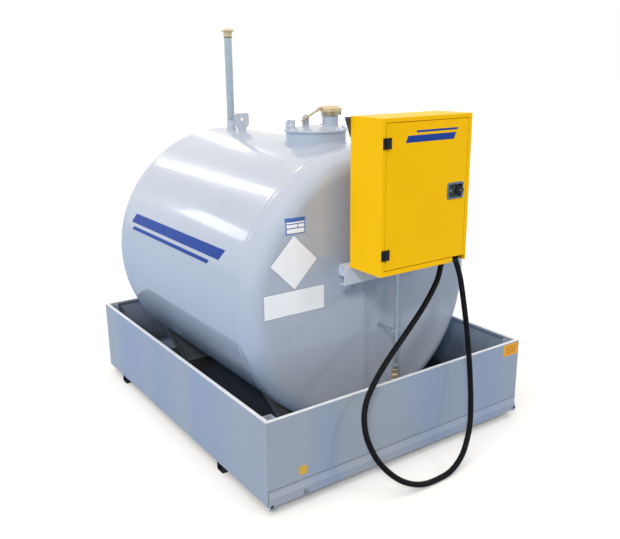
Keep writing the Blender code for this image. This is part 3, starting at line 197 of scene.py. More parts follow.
class Graph:
    """A short way to write the nodes of a material or the world."""

    def __init__(self, owner, clear=False):
        owner.use_nodes = True
        self.owner = owner
        self.tree = owner.node_tree
        self.shader = self.tree.nodes.get("Principled BSDF")
        if clear:
            self.tree.nodes.clear()

    def node(self, kind, links=None, **settings):
        item = self.tree.nodes.new(kind)
        for key, value in settings.items():
            setattr(item, key, value)
        for socket, value in (links or {}).items():
            self.feed(item.inputs[socket], value)
        return item

    def feed(self, socket, value):
        if isinstance(value, bpy.types.NodeSocket):
            self.tree.links.new(value, socket)
        else:
            socket.default_value = value

    def place(self):
        return self.node("ShaderNodeTexCoord").outputs["Object"]

    def noise(self, vector, scale, detail=2.0, roughness=0.5):
        links = {"Vector": vector, "Scale": scale, "Detail": detail, "Roughness": roughness}
        return self.node("ShaderNodeTexNoise", links).outputs["Fac"]

    def stretch(self, vector, scale):
        return self.node("ShaderNodeMapping", {"Vector": vector, "Scale": scale}).outputs["Vector"]

    def span(self, value, low, high, to_low=0.0, to_high=1.0):
        links = {"Value": value, "From Min": low, "From Max": high, "To Min": to_low, "To Max": to_high}
        return self.node("ShaderNodeMapRange", links).outputs["Result"]

    def math(self, operation, first, second=0.0):
        return self.node("ShaderNodeMath", {0: first, 1: second}, operation=operation).outputs["Value"]

    def times(self, first, *others):
        for other in others:
            first = self.math("MULTIPLY", first, other)
        return first

    def blend(self, share, *ends):
        first, second = ((*end, 1.0) if isinstance(end, tuple) else end for end in ends)
        return self.node("ShaderNodeMix", {0: share, 6: first, 7: second}, data_type="RGBA").outputs[2]

    def bump(self, height, distance, **links):
        links = {"Height": height, "Distance": distance, "Strength": 1.0, **links}
        return self.node("ShaderNodeBump", links).outputs["Normal"]

    def wear(self, place, radius, share, tone, colour):
        """Rub edges, found where the bevelled normal leaves the real one, and broken up by noise."""
        bent = self.node("ShaderNodeBevel", {"Radius": radius}, samples=4).outputs["Normal"]
        true = self.node("ShaderNodeNewGeometry").outputs["Normal"]
        match = self.node("ShaderNodeVectorMath", {0: bent, 1: true}, operation="DOT_PRODUCT")
        sharp = self.span(match.outputs["Value"], 0.985, 0.80)
        broken = self.span(self.noise(place, 55.0, 4.0, 0.7), 0.42, 0.62)
        return self.blend(self.times(sharp, broken, share), tone, colour)

    def finish(self, tone, gloss, normal):
        """Feed the shader and give its material."""
        for socket, value in (("Base Color", tone), ("Roughness", gloss), ("Normal", normal)):
            self.feed(self.shader.inputs[socket], value)
        return self.owner

    def show(self, output, mirrored, lit, shown):
        """One shader for the rays that see a backdrop, another for those that only carry its light."""
        path = self.node("ShaderNodeLightPath").outputs
        seen = self.math("MAXIMUM", path["Is Camera Ray"], path["Is Transmission Ray"])
        if mirrored:
            seen = self.math("MAXIMUM", seen, path["Is Glossy Ray"])
        mix = self.node("ShaderNodeMixShader", {0: seen, 1: lit.outputs[0], 2: shown.outputs[0]})
        self.node(output, {"Surface": mix.outputs[0]})


def new_material(name, **settings):
    """A new material's graph with its shader set, and its object coordinates."""
    graph = Graph(bpy.data.materials.new(name))
    for socket, value in settings.items():
        graph.feed(graph.shader.inputs[socket.replace("_", " ")], value)
    return graph, graph.place()


def shade(colour, factor):
    return tuple(channel * factor for channel in colour)


def paint(
    name, colour, roughness, peel=0.00004, wave=0.0, coat=0.0, tint=None, rubbed=None, level=0.5, stain=0.0
):
    """Sprayed enamel: orange peel, sheet waves, dust, faint unevenness of tone and gloss, rubbed edges."""
    graph, place = new_material(
        name, Coat_Weight=coat, Coat_Roughness=0.06, IOR=1.5, Specular_IOR_Level=level
    )
    cloud = graph.span(graph.noise(place, 2.3, 3.0), 0.35, 0.70)
    tone = graph.blend(cloud, colour, tint or shade(colour, 0.95))
    speck = graph.span(graph.noise(place, 140.0, 2.0), 0.60, 0.80, 0.0, 0.10)
    tone = graph.blend(speck, tone, shade(colour, 0.80))
    if stain:
        spots = graph.span(graph.noise(place, 38.0, 5.0, 0.65), 0.54, 0.68, 0.0, stain)
        tone = graph.blend(spots, tone, STAIN_COLOUR)
    if rubbed:
        tone = graph.wear(place, 0.0025, 0.7, tone, rubbed)
    gloss = graph.span(graph.noise(place, 7.0, 4.0, 0.6), 0.3, 0.7, roughness - 0.03, roughness + 0.05)
    normal = graph.bump(graph.noise(place, 330.0, 1.0), peel)
    if wave:
        normal = graph.bump(graph.noise(place, 3.1, 1.0), wave, Normal=normal)
    return graph.finish(tone, gloss, normal)


def bund_finish(name, painted_shade_and_highlight=False, lap=False):
    """The bund's enamel in soft upright bands of painted reflection: inside the walls darker towards the
    bottom as painted shade with dirt, the rim's top and edges lighter as painted highlight with rubbed wear,
    and a painted shadow line under the lap.
    """
    graph, place = new_material(name, Coat_Weight=0.15, Coat_Roughness=0.12, IOR=1.5)
    # Upright bands in a bluer tone: painted reflection.
    cloud = graph.span(graph.noise(graph.stretch(place, (1.0, 1.0, 0.10)), 2.2, 1.5), 0.42, 0.60)
    tone = graph.blend(cloud, BUND_COLOUR, BUND_REFLECTION_TONE)
    speck = graph.span(graph.noise(place, 120.0, 2.0), 0.60, 0.80, 0.0, 0.10)
    tone = graph.blend(speck, tone, shade(BUND_COLOUR, 0.78))
    # Lighter edges: rubbed wear with painted highlight.
    tone = graph.wear(place, 0.003, 0.6, tone, HIGHLIGHT_AND_RUB_GREY)
    axes = graph.node("ShaderNodeSeparateXYZ", {"Vector": place}).outputs
    if lap:
        # A dark line just under the wall's lower edge: painted shadow of the lap.
        edge = BOXES["bund_front_wall"][0].z
        line = graph.span(axes["Z"], edge - 0.009, edge - 0.002, 0.0, 0.75)
        tone = graph.blend(line, tone, shade(BUND_COLOUR, 0.22))
    if painted_shade_and_highlight:
        low, high, middle = box("bund_left_wall")
        skin = 0.0015
        across = graph.math("ABSOLUTE", axes["X"])
        along = graph.math("ABSOLUTE", graph.math("SUBTRACT", axes["Y"], middle.y))
        inside_x = graph.math("LESS_THAN", across, BOXES["bund_right_wall"][1].x - skin)
        inside_y = graph.math("LESS_THAN", along, (high.y - low.y) / 2 - skin)
        under_rim = graph.math("LESS_THAN", axes["Z"], high.z - skin)
        # The rim's top face lighter: painted highlight broken by chips.
        rim_highlight_chips = graph.span(graph.noise(place, 26.0, 4.0, 0.7), 0.30, 0.60, 0.70, 1.0)
        tone = graph.blend(graph.times(graph.math("SUBTRACT", 1.0, under_rim), rim_highlight_chips), tone, HIGHLIGHT_AND_RUB_GREY)
        # Inside the walls, darker towards the bottom: painted shade with dirt.
        wobble = graph.span(graph.noise(place, 5.0, 3.0), 0.3, 0.7, -0.06, 0.06)
        depth = graph.span(graph.math("ADD", axes["Z"], wobble), high.z - 0.04, 0.09, 0.10, 1.0)
        tone = graph.blend(graph.times(inside_x, inside_y, under_rim, depth), tone, SHADE_AND_DIRT_COLOUR)
    smear = graph.noise(graph.stretch(place, (1.0, 1.0, 0.3)), 6.0, 4.0, 0.6)
    normal = graph.bump(graph.noise(place, 300.0, 1.0), 0.00004)
    sheet = graph.noise(graph.stretch(place, (1.0, 1.0, 0.35)), 2.6, 1.0)
    gloss = graph.span(smear, 0.3, 0.7, 0.27, 0.40)
    return graph.finish(tone, gloss, graph.bump(sheet, 0.004, Normal=normal))


def metal(name, colour, roughness, grain=(1.0, 1.0, 1.0), scale=60.0, dull=0.75, depth=0.00006, metallic=1.0):
    """Bare metal with cloudy tarnish, a stretched grain and brighter edges."""
    graph, place = new_material(name, Metallic=metallic)
    cloud = graph.span(graph.noise(place, 22.0, 4.0, 0.6), 0.35, 0.68)
    flake = graph.noise(graph.stretch(place, grain), scale, 3.0)
    tone = graph.blend(cloud, colour, shade(colour, dull))
    tone = graph.blend(graph.span(flake, 0.45, 0.75, 0.0, 0.35), tone, shade(colour, dull * dull))
    tone = graph.wear(place, 0.0012, 0.6, tone, tuple(min(1.0, channel * 1.25) for channel in colour))
    gloss = graph.span(flake, 0.3, 0.7, roughness - 0.06, roughness + 0.12)
    return graph.finish(tone, gloss, graph.bump(flake, depth))


def plastic(name, colour, roughness, grit=0.00008, scale=420.0, level=0.5, worn=True):
    """Moulded plastic or rubber with a fine grit, scuffs and paler edges."""
    graph, place = new_material(name, IOR=1.46, Specular_IOR_Level=level)
    scuff = graph.noise(place, 35.0, 4.0, 0.7)
    lighter = tuple(channel * 1.5 + 0.003 for channel in colour)
    tone = graph.blend(graph.span(scuff, 0.45, 0.80), colour, lighter)
    if worn:
        tone = graph.wear(place, 0.0012, 0.7, tone, shade(lighter, 3.0))
    gloss = graph.span(scuff, 0.3, 0.7, roughness, roughness + 0.12)
    return graph.finish(tone, gloss, graph.bump(graph.noise(place, scale, 2.0), grit))


BUND_COLOUR = (0.330, 0.360, 0.408)
# A bluer tone for the bund's upright bands: painted reflection.
BUND_REFLECTION_TONE = (0.272, 0.326, 0.448)
# Lighter grey for the bund's edges and rim top: painted highlight with rubbed wear.
HIGHLIGHT_AND_RUB_GREY = (0.68, 0.71, 0.74)
# Near black for the bund's inside towards the bottom: painted shade with dirt.
SHADE_AND_DIRT_COLOUR = (0.027, 0.025, 0.023)
STAIN_COLOUR = (0.16, 0.14, 0.13)
TANK_PAINT = paint(
    "tank_enamel", (0.425, 0.468, 0.550), 0.22, wave=0.0026, coat=0.65,
    tint=(0.405, 0.450, 0.536), rubbed=(0.56, 0.58, 0.60),
)
FITTING_PAINT = paint(
    "fitting_enamel", (0.53, 0.56, 0.63), 0.30, coat=0.2,
    tint=(0.47, 0.50, 0.57), rubbed=(0.14, 0.13, 0.13), stain=0.4,
)
SKID_PAINT = paint("skid_enamel", (0.012, 0.013, 0.018), 0.40, rubbed=(0.10, 0.10, 0.10))
YELLOW_PAINT = paint(
    "yellow_powder_coat", (0.98, 0.530, 0.0), 0.36, peel=0.00006,
    tint=(0.96, 0.510, 0.0), rubbed=(0.60, 0.34, 0.03), level=0.10,
)
# The saddles in a darker copy of the bund's grey: painted shade; their lighter edges are rubbed wear with
# painted highlight.
SADDLE_SHADE_PAINT = paint(
    "saddle_painted_shade", (0.14, 0.15, 0.17), 0.38, tint=(0.09, 0.09, 0.09), rubbed=(0.36, 0.38, 0.40), stain=0.6
)
# The rail in a lighter copy of the tank's grey: painted light.
RAIL_LIGHT_PAINT = paint("rail_painted_light", (0.60, 0.64, 0.73), 0.26, coat=0.4, rubbed=(0.30, 0.31, 0.33))
BUND_PAINT = bund_finish("bund_enamel")
STRIP_PAINT = bund_finish("strip_enamel", lap=True)
BUND_WALL_PAINT = bund_finish("bund_wall_enamel", painted_shade_and_highlight=True)
GALVANISED = metal("galvanised_steel", (0.53, 0.60, 0.65), 0.40, scale=90.0, metallic=0.8, dull=0.90)
STEEL_PLATE = metal("weathered_steel", (0.085, 0.105, 0.135), 0.45, metallic=0.5)
BOLT_STEEL = metal("zinc_steel", (0.52, 0.54, 0.55), 0.30, scale=220.0, metallic=0.95)
BRASS = metal("cast_brass", (0.85, 0.69, 0.42), 0.34, scale=160.0, depth=0.0001, dull=0.80, metallic=0.7)
BRONZE = metal("dull_brass", (0.72, 0.60, 0.41), 0.38, scale=160.0, depth=0.0001, dull=0.74)
CHROME = metal("dark_chrome", (0.26, 0.30, 0.33), 0.16, grain=(1.0, 1.0, 12.0), scale=180.0, dull=0.9)
CASTING = metal("painted_casting", (0.32, 0.34, 0.37), 0.5, scale=240.0, metallic=0.35, depth=0.00015)
BLACK_PLASTIC = plastic("black_plastic", (0.009, 0.009, 0.010), 0.38, level=0.3)
DARK_PANEL = plastic("dark_panel", (0.035, 0.037, 0.040), 0.45)
HOSE_RUBBER = plastic(
    "hose_rubber", (0.003, 0.003, 0.004), 0.18, grit=0.00003, scale=700.0, level=0.16, worn=False
)
STRIPE_BLUE = paint("stripe_blue", (0.008, 0.048, 0.28), 0.34, tint=(0.007, 0.043, 0.26), level=0.2)
GREY_PLASTIC = plastic("grey_plastic", (0.36, 0.37, 0.38), 0.45)
LABEL_BLUE = paint("label_blue", (0.050, 0.13, 0.42), 0.35, tint=(0.045, 0.12, 0.40))
LABEL_WHITE = paint("label_white", (0.92, 0.92, 0.93), 0.35, tint=(0.89, 0.895, 0.91))
LABEL_EDGE = paint("label_grey", (0.30, 0.33, 0.37), 0.38)
LABEL_YELLOW = paint("label_yellow", (0.70, 0.40, 0.03), 0.40)
LABEL_ORANGE = paint("label_orange", (0.86, 0.37, 0.02), 0.42, level=0.25)
LABEL_BROWN = paint("label_brown", (0.35, 0.13, 0.02), 0.42, level=0.25)

FINISHES = {
    "tank_paint": TANK_PAINT,
    "bund_paint": BUND_PAINT,
    "skid_paint": SKID_PAINT,
    "galvanised": GALVANISED,
    "brass": BRASS,
    "yellow_paint": YELLOW_PAINT,
    "black_plastic": BLACK_PLASTIC,
    "lock_metal": CHROME,
    "cast_metal": CASTING,
    "hose_rubber": HOSE_RUBBER,
}
NODE_FINISHES = {
    **dict.fromkeys(SADDLES, SADDLE_SHADE_PAINT),
    **dict.fromkeys(STRIPS, STRIP_PAINT),
    **dict.fromkeys([*WALLS, "bund_floor"], BUND_WALL_PAINT),
    **dict.fromkeys(["lifting_lug", "lid_ear", "hasp_post"], FITTING_PAINT),
    "cabinet_rail": RAIL_LIGHT_PAINT,
    "cabinet_hanger": STEEL_PLATE,
}
SOFTENED = {
    **dict.fromkeys(["front_skid", "back_skid"], 0.0020),
    **dict.fromkeys([*WALLS, *SADDLES, "cabinet_door", "cabinet_rail"], 0.0012),
    **dict.fromkeys([*STRIPS, "cabinet_box", "cabinet_hanger", "lifting_lug"], 0.0010),
    **dict.fromkeys(["lid_ear", "hasp_post", "nozzle_holder"], 0.0010),
    **dict.fromkeys(SOCKETS, 0.0008),
    **dict.fromkeys(LEAVES, 0.0006),
}


def dress_nodes():
    """Finish every CAD node, and round edges with modifiers, which leave its own mesh as it is."""
    slots = {row["node"]: row["material_slot"] for row in frame["record"]["subparts"]}
    for name, node in NODES.items():
        node.data.materials.clear()
        node.data.materials.append(NODE_FINISHES.get(name, FINISHES[slots[name]]))
    for name, width in SOFTENED.items():
        modifiers = NODES[name].modifiers
        modifiers.new("weld", "WELD").merge_threshold = 0.00002
        flat = modifiers.new("flat", "DECIMATE")
        flat.decimate_type = "DISSOLVE"
        flat.angle_limit = math.radians(0.5)
        bevel = modifiers.new("round", "BEVEL")
        bevel.width = width
        bevel.segments = 2
        bevel.limit_method = "ANGLE"
        bevel.angle_limit = math.radians(40.0)
        bevel.harden_normals = True
        modifiers.new("close", "WELD").merge_threshold = 0.00002


# Pieces


def add_piece(name, mesh, material, slot, *replaces, body="root"):
    """Link a mesh as a piece that rides on a body."""
    item = new_object(name, mesh)
    item.data.materials.clear()
    item.data.materials.append(material)
    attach(item, body)
    if replaces:
        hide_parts(*replaces)
    return item


def shaped(name, shapes, angle=35.0):
    """A mesh of the shapes in a list, each an add_ function with its arguments."""
    form = bmesh.new()
    for add, *arguments in shapes:
        add(form, *arguments)
    bmesh.ops.recalc_face_normals(form, faces=form.faces)
    mesh = bpy.data.meshes.new(name)
    form.to_mesh(mesh)
    form.free()
    smooth(mesh, angle)
    return mesh


def smooth(mesh, angle):
    mesh.shade_smooth()
    mesh.set_sharp_from_angle(angle=math.radians(angle))


def piece(name, material, slot, shapes, *replaces, body="root", angle=35.0):
    add_piece(name, shaped(name, shapes, angle), material, slot, *replaces, body=body)


def cut(item, radius, segments, place, start, end, angle):
    """Take a round hole away from a piece at once."""
    profile = [(0.0, start), (radius, start), (radius, end), (0.0, end)]
    tool = new_object(f"{item.name}_tool", shaped("bore", [(add_turned, profile, segments, place)]))
    modifier = item.modifiers.new("cut", "BOOLEAN")
    modifier.operation = "DIFFERENCE"
    modifier.solver = "EXACT"
    modifier.object = tool
    graph = bpy.context.evaluated_depsgraph_get()
    mesh = bpy.data.meshes.new_from_object(item.evaluated_get(graph))
    item.modifiers.clear()
    item.data = mesh
    bpy.data.objects.remove(tool, do_unlink=True)
    smooth(mesh, angle)


# Points and places


def mm(*pairs, x=0.0, y=0.0):
    """Pairs in millimetres from a corner in metres, as metres."""
    return [(x + first / 1000.0, y + second / 1000.0) for first, second in pairs]


def turned_place(degrees, axis):
    """A maker of places whose own Z is turned from upright about an axis."""
    turn = Matrix.Rotation(math.radians(degrees), 4, axis)
    return lambda x, y, z: Matrix.Translation((x, y, z)) @ turn


upright_at = turned_place(0.0, "Z")
along_y = turned_place(-90.0, "X")
facing_front = turned_place(90.0, "X")
facing_left = turned_place(-90.0, "Y")
facing_right = turned_place(90.0, "Y")


def moved(place, x, y, z):
    return place @ Matrix.Translation((x, y, z))


def spun(place, turn):
    return place @ Matrix.Rotation(turn, 4, "Z")


def spread(low, high, count):
    """Evenly spaced numbers from low to high."""
    return [low + (high - low) * i / (count - 1) for i in range(count)]


def circle(count, radius, x=0.0, y=0.0, offset=0.0, extra=0):
    """Even points on a circle; one extra closes it."""
    turns = [math.tau * (i + offset) / count for i in range(count + extra)]
    return [(x + radius * math.cos(turn), y + radius * math.sin(turn)) for turn in turns]


def arc(radius, steps):
    """A quarter circle that starts level: how far out and how far up each point lies."""
    turns = spread(0.0, math.pi / 2, steps + 1)
    return [(radius * math.sin(turn), radius * (1.0 - math.cos(turn))) for turn in turns]


def tank_height(x, grow=0.0):
    """Height of the tank's surface at a distance from its axis."""
    return TANK_Z + math.sqrt((TANK_RADIUS + grow) ** 2 - x * x)


def ring_on_tank(x, y, radius, grow, count):
    """A closed round line that lies on the tank about an upright axis."""
    return [(px, py, tank_height(px, grow)) for px, py in circle(count, radius, x, y, extra=1)]


def lid_height(x, y, grow=0.0):
    """Height of the domed lid's upper face."""
    edge = LID_DOME_SHARE * (LID_HIGH.x - LID_LOW.x) / 2
    share = min(1.0, math.hypot(x - MANHOLE.x, y - MANHOLE.y) / edge)
    return LID_HIGH.z - LID_RISE * share**2 + grow


def smooth_points(points, count):
    """Even points on a smooth curve through the given points, by arc length."""
    vectors = [Vector(point) for point in points]
    dense = []
    last = len(vectors) - 1
    for i in range(last):
        before = vectors[max(i - 1, 0)]
        here = vectors[i]
        there = vectors[i + 1]
        after = vectors[min(i + 2, last)]
        for j in range(12):
            t = j / 12
            bend = (2 * before - 5 * here + 4 * there - after) * t**2
            twist = (3 * here - before - 3 * there + after) * t**3
            dense.append(0.5 * (2 * here + (there - before) * t + bend + twist))
    dense.append(vectors[last])
    lengths = [0.0]
    for here, there in zip(dense, dense[1:]):
        lengths.append(lengths[-1] + (there - here).length)
    even = []
    index = 0
    for target in spread(0.0, lengths[-1], count):
        while index < len(lengths) - 2 and lengths[index + 1] < target:
            index += 1
        share = (target - lengths[index]) / (lengths[index + 1] - lengths[index])
        even.append(dense[index].lerp(dense[index + 1], share))
    return even, lengths[-1]


def tangents(path):
    last = len(path) - 1
    return [(path[min(i + 1, last)] - path[max(i - 1, 0)]).normalized() for i in range(last + 1)]


# Shapes


def add_rows(form, rows, loop=False, ends=False):
    """Skin closed rows, as a ring of rows or with both ends filled; a row of one point is a pole."""
    made = [[form.verts.new(point) for point in row] for row in rows]
    pairs = list(zip(made, made[1:]))
    if loop:
        pairs.append((made[-1], made[0]))
    for here, there in pairs:
        for i in range(max(len(here), len(there))):
            j = i + 1
            corners = (here[i % len(here)], here[j % len(here)], there[j % len(there)], there[i % len(there)])
            form.faces.new(list(dict.fromkeys(corners)))
    for row in (made[0], made[-1]):
        if ends and len(row) > 1:
            form.faces.new(row)


def circle_row(radius, height, segments, place, dip=lambda i: 0.0):
    """A round row about a place's own Z; dip(i) takes its points inwards."""
    if radius < 1e-6:
        return [place @ Vector((0.0, 0.0, height))]
    row = []
    for i in range(segments):
        turn = math.tau * i / segments
        reach = radius - dip(i)
        row.append(place @ Vector((reach * math.cos(turn), reach * math.sin(turn), height)))
    return row


def add_turned(form, profile, segments, place, loop=False):
    """Turn a (radius, height) profile; a looped one is a ring, another has flat ends."""
    add_rows(form, [circle_row(r, h, segments, place) for r, h in profile], loop, not loop)


def slab_row(half_x, half_y, corner, height, place):
    """A rectangle with round corners."""
    points = []
    for quarter, (side_x, side_y) in enumerate(((1, 1), (-1, 1), (-1, -1), (1, -1))):
        for i in range(CORNER_STEPS + 1):
            turn = math.radians(90.0 * (quarter + i / CORNER_STEPS))
            x = side_x * (half_x - corner) + corner * math.cos(turn)
            y = side_y * (half_y - corner) + corner * math.sin(turn)
            points.append(place @ Vector((x, y, height)))
    return points


def slab_rows(half_x, half_y, place, *steps):
    """Round-cornered rows inside a rectangle: inset, corner and height of each in millimetres."""
    rows = []
    for inset, corner, height in steps:
        inset /= 1000.0
        rows.append(slab_row(half_x - inset, half_y - inset, corner / 1000.0, height / 1000.0, place))
    return rows


def add_slab(form, half_x, half_y, corner, depth, edge, place):
    """A plate with round corners and a softened face, standing from height 0."""
    steps = ((0.0, 0.0), (0.0, depth - edge), (edge, depth))
    rows = [slab_row(half_x - inset, half_y - inset, corner, height, place) for inset, height in steps]
    add_rows(form, rows, ends=True)


def add_part(form, builder, edge, place):
    """Build a solid by itself, round all its edges and set it in place."""
    part = bmesh.new()
    builder(part)
    bmesh.ops.recalc_face_normals(part, faces=part.faces)
    bmesh.ops.bevel(
        part, geom=part.edges[:], offset=edge, segments=2, profile=0.5, affect="EDGES", clamp_overlap=True
    )
    part.transform(place)
    mesh = bpy.data.meshes.new("part")
    part.to_mesh(mesh)
    part.free()
    form.from_mesh(mesh)
    bpy.data.meshes.remove(mesh)


def add_box(form, low, high, edge):
    """A box between two corners, with rounded edges."""
    low, high = Vector(low), Vector(high)

    def builder(part):
        bmesh.ops.create_cube(part, size=1.0)
        bmesh.ops.scale(part, vec=high - low, verts=part.verts)
        bmesh.ops.translate(part, vec=(low + high) / 2, verts=part.verts)

    add_part(form, builder, edge, Matrix.Identity(4))


def add_outline(form, points, thickness, place, edge):
    """A flat outline with thickness and rounded edges."""

    def builder(part):
        face = part.faces.new([part.verts.new((x, y, -thickness / 2)) for x, y in points])
        grown = bmesh.ops.extrude_face_region(part, geom=[face])
        far = [item for item in grown["geom"] if isinstance(item, bmesh.types.BMVert)]
        bmesh.ops.translate(part, vec=(0.0, 0.0, thickness), verts=far)

    add_part(form, builder, edge, place)


def add_bolt(form, place, across, height):
    """A washer and a chamfered hexagon head, standing along the place's own Z."""
    radius = across / math.sqrt(3.0)
    washer = across * 0.09
    plate = [(across * 0.66, 0.0), (across * 0.66, washer), (across * 0.60, washer * 1.3)]
    add_turned(form, plate, 20, place)
    add_turned(form, [(radius, washer), (radius, height * 0.8), (radius * 0.84, height)], 6, place)


def add_screw(form, place, radius):
    """A small pan head with a hollow in its middle."""
    shares = ((1.0, 0.0), (1.0, 0.20), (0.75, 0.40), (0.40, 0.42), (0.34, 0.12))
    add_turned(form, [(radius * out, radius * rise) for out, rise in shares], 18, place)


def add_ring_rows(form, path, frames, radii, segments):
    """Skin round rows about a path, each between its own side and upright."""
    rows = []
    for here, (side, upright), radius in zip(path, frames, radii):
        rows.append([here + x * side + y * upright for x, y in circle(segments, radius)])
    add_rows(form, rows, ends=True)


def add_bead(form, points, radius):
    """A weld bead along a line, swelling at every ripple."""
    rough = sum((Vector(b) - Vector(a)).length for a, b in zip(points, points[1:]))
    path = smooth_points(points, max(8, int(rough / WELD_PITCH * 2)))[0]
    frames = []
    for along in tangents(path):
        guide = Vector((1.0, 0.0, 0.0)) if abs(along.z) > 0.9 else Vector((0.0, 0.0, 1.0))
        side = along.cross(guide).normalized()
        frames.append((side, side.cross(along)))
    radii = [radius * (1.0 + 0.12 * math.cos(math.pi * i)) for i in range(len(path))]
    add_ring_rows(form, path, frames, radii, 8)


def add_tube(form, points, radius, count, segments):
    """A smooth round tube through points."""
    path = smooth_points(points, count)[0]
    frames = []
    upright = Vector((0.0, 0.0, 1.0))
    for along in tangents(path):
        if abs(along.dot(upright)) > 0.95:
            upright = Vector((0.0, 1.0, 0.0))
        side = along.cross(upright).normalized()
        upright = side.cross(along)
        frames.append((side, upright))
    add_ring_rows(form, path, frames, [radius] * count, segments)


# Hose


def make_hose():
    points, length = smooth_points(HOSE_ROUTE, HOSE_STEPS)
    curve = bpy.data.curves.new("hose_line", "CURVE")
    curve.dimensions = "3D"
    curve.bevel_depth = HOSE_RADIUS
    curve.bevel_resolution = 6
    curve.use_fill_caps = True
    spline = curve.splines.new("POLY")
    spline.points.add(len(points) - 1)
    for point, place in zip(spline.points, points):
        point.co = (*place, 1.0)
    spline.use_smooth = True
    curve.materials.append(HOSE_RUBBER)
    hose = new_object("hose_tube", curve)
    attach(hose, "root")
    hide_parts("hose")


# Tank


def tank_profile(length):
    """The tank's outside from the middle of one end to the middle of the other, then the inside back."""
    flat = TANK_RADIUS - KNUCKLE
    seam = KNUCKLE + END_SKIRT
    half = [(0.0, 0.0), (flat * 0.5, 0.0), (flat - 0.012, 0.0)]
    half += [(flat + out, rise) for out, rise in arc(KNUCKLE, 16)]
    half.append((TANK_RADIUS, seam - WELD_WIDTH))
    for share in spread(0.0, 1.0, 7):
        bead = WELD_PROUD * math.sin(math.pi * share)
        half.append((TANK_RADIUS + bead, seam + WELD_WIDTH * (share - 0.5)))
    half.append((TANK_RADIUS, seam + WELD_WIDTH))
    outside = half + [(TANK_RADIUS, length / 2)] + [(r, length - h) for r, h in reversed(half)]
    lining = [(0.0, TANK_WALL)]
    lining += [(flat + out, TANK_WALL + rise) for out, rise in arc(KNUCKLE - TANK_WALL, 6)]
    return outside, [(r, length - h) for r, h in lining] + lining[::-1]


def make_tank():
    outside, inside = tank_profile(BOXES["tank_back_end"][1].y - TANK_FRONT)
    place = along_y(0.0, TANK_FRONT, TANK_Z)
    skin = shaped("tank_skin", [(add_turned, outside, TANK_SEGMENTS, place)])
    form = bmesh.new()
    form.from_mesh(shaped("tank_lining", [(add_turned, inside, 96, place)]))
    bmesh.ops.reverse_faces(form, faces=form.faces)
    form.from_mesh(skin)
    form.to_mesh(skin)
    form.free()
    nodes = ("tank_shell", "tank_front_end", "tank_back_end")
    tank = add_piece("tank_skin", skin, TANK_PAINT, "tank_paint", *nodes)
    neck = box("manhole_neck")[2]
    bore = radius_of("manhole_neck") - NECK_WALL
    cut(tank, bore, 96, upright_at(neck.x, neck.y, TANK_Z), 0.0, TANK_RADIUS + 0.1, 35.0)


# Manhole and fill cap


def make_neck():
    top = BOXES["manhole_neck"][1].z
    radius = radius_of("manhole_neck")
    inner = radius - NECK_WALL
    soft = 0.0012

    def row(reach, height=None):
        spots = circle(FINE, reach, 0.0, MANHOLE.y)
        return [Vector((x, y, tank_height(x, -0.002) if height is None else height)) for x, y in spots]

    rows = [row(radius), row(radius, top - soft), row(radius - soft, top)]
    rows += [row(inner + soft, top), row(inner, top - soft), row(inner)]
    foot = ring_on_tank(0.0, MANHOLE.y, radius + 0.002, 0.0012, 72)
    shapes = [(add_rows, rows, True), (add_bead, foot, 0.0045)]
    piece("manhole_ring", TANK_PAINT, "tank_paint", shapes, "manhole_neck")


def make_lid():
    radius = radius_of("manhole_lid")
    shoulder = LID_HIGH.z - LID_RISE
    steps = spread(0.0, LID_DOME_SHARE * radius, 13)
    profile = [(out, lid_height(MANHOLE.x + out, MANHOLE.y)) for out in steps]
    profile += mm((-3, 0), (-1, -0.8), (0, -2.8), x=radius, y=shoulder)
    profile += [*mm((0, 1.2), (-1.2, 0), x=radius, y=LID_LOW.z), (0.0, LID_LOW.z)]
    mesh = shaped("lid_disc", [(add_turned, profile, FINE, upright_at(MANHOLE.x, MANHOLE.y, 0.0))], 25.0)
    lid = add_piece("lid_disc", mesh, TANK_PAINT, "tank_paint", "manhole_lid")
    pipe = box("fill_pipe")[2]
    cut(lid, radius_of("fill_pipe"), 48, upright_at(pipe.x, pipe.y, LID_HIGH.z), -0.05, 0.05, 25.0)
    bolts = []
    for i, (x, y) in enumerate(circle(LID_BOLTS, LID_BOLT_CIRCLE, MANHOLE.x, MANHOLE.y, 0.5)):
        place = spun(upright_at(x, y, shoulder - 0.0002), 2.7 * math.tau * (i + 0.5) / LID_BOLTS)
        bolts.append((add_bolt, place, 0.013, 0.008))
        bolts.append((add_turned, mm((4, 7), (4, 12.5), (3, 13.5)), 14, place))
    piece("lid_bolts", FITTING_PAINT, "tank_paint", bolts)


def make_fill_pipe():
    low, high, centre = box("fill_pipe")
    radius = radius_of("fill_pipe")
    inner = radius - 0.004
    profile = [(radius, low.z), *mm((0, -0.8), (-0.8, 0), x=radius, y=high.z)]
    profile += [*mm((0.8, 0), (0, -0.8), x=inner, y=high.z), (inner, low.z)]
    foot = circle(48, radius + 0.001, centre.x, centre.y, extra=1)
    shapes = [
        (add_turned, profile, 64, upright_at(centre.x, centre.y, 0.0), True),
        (add_bead, [(x, y, lid_height(x, y, 0.001)) for x, y in foot], 0.0034),
    ]
    piece("fill_tube", TANK_PAINT, "tank_paint", shapes, "fill_pipe")


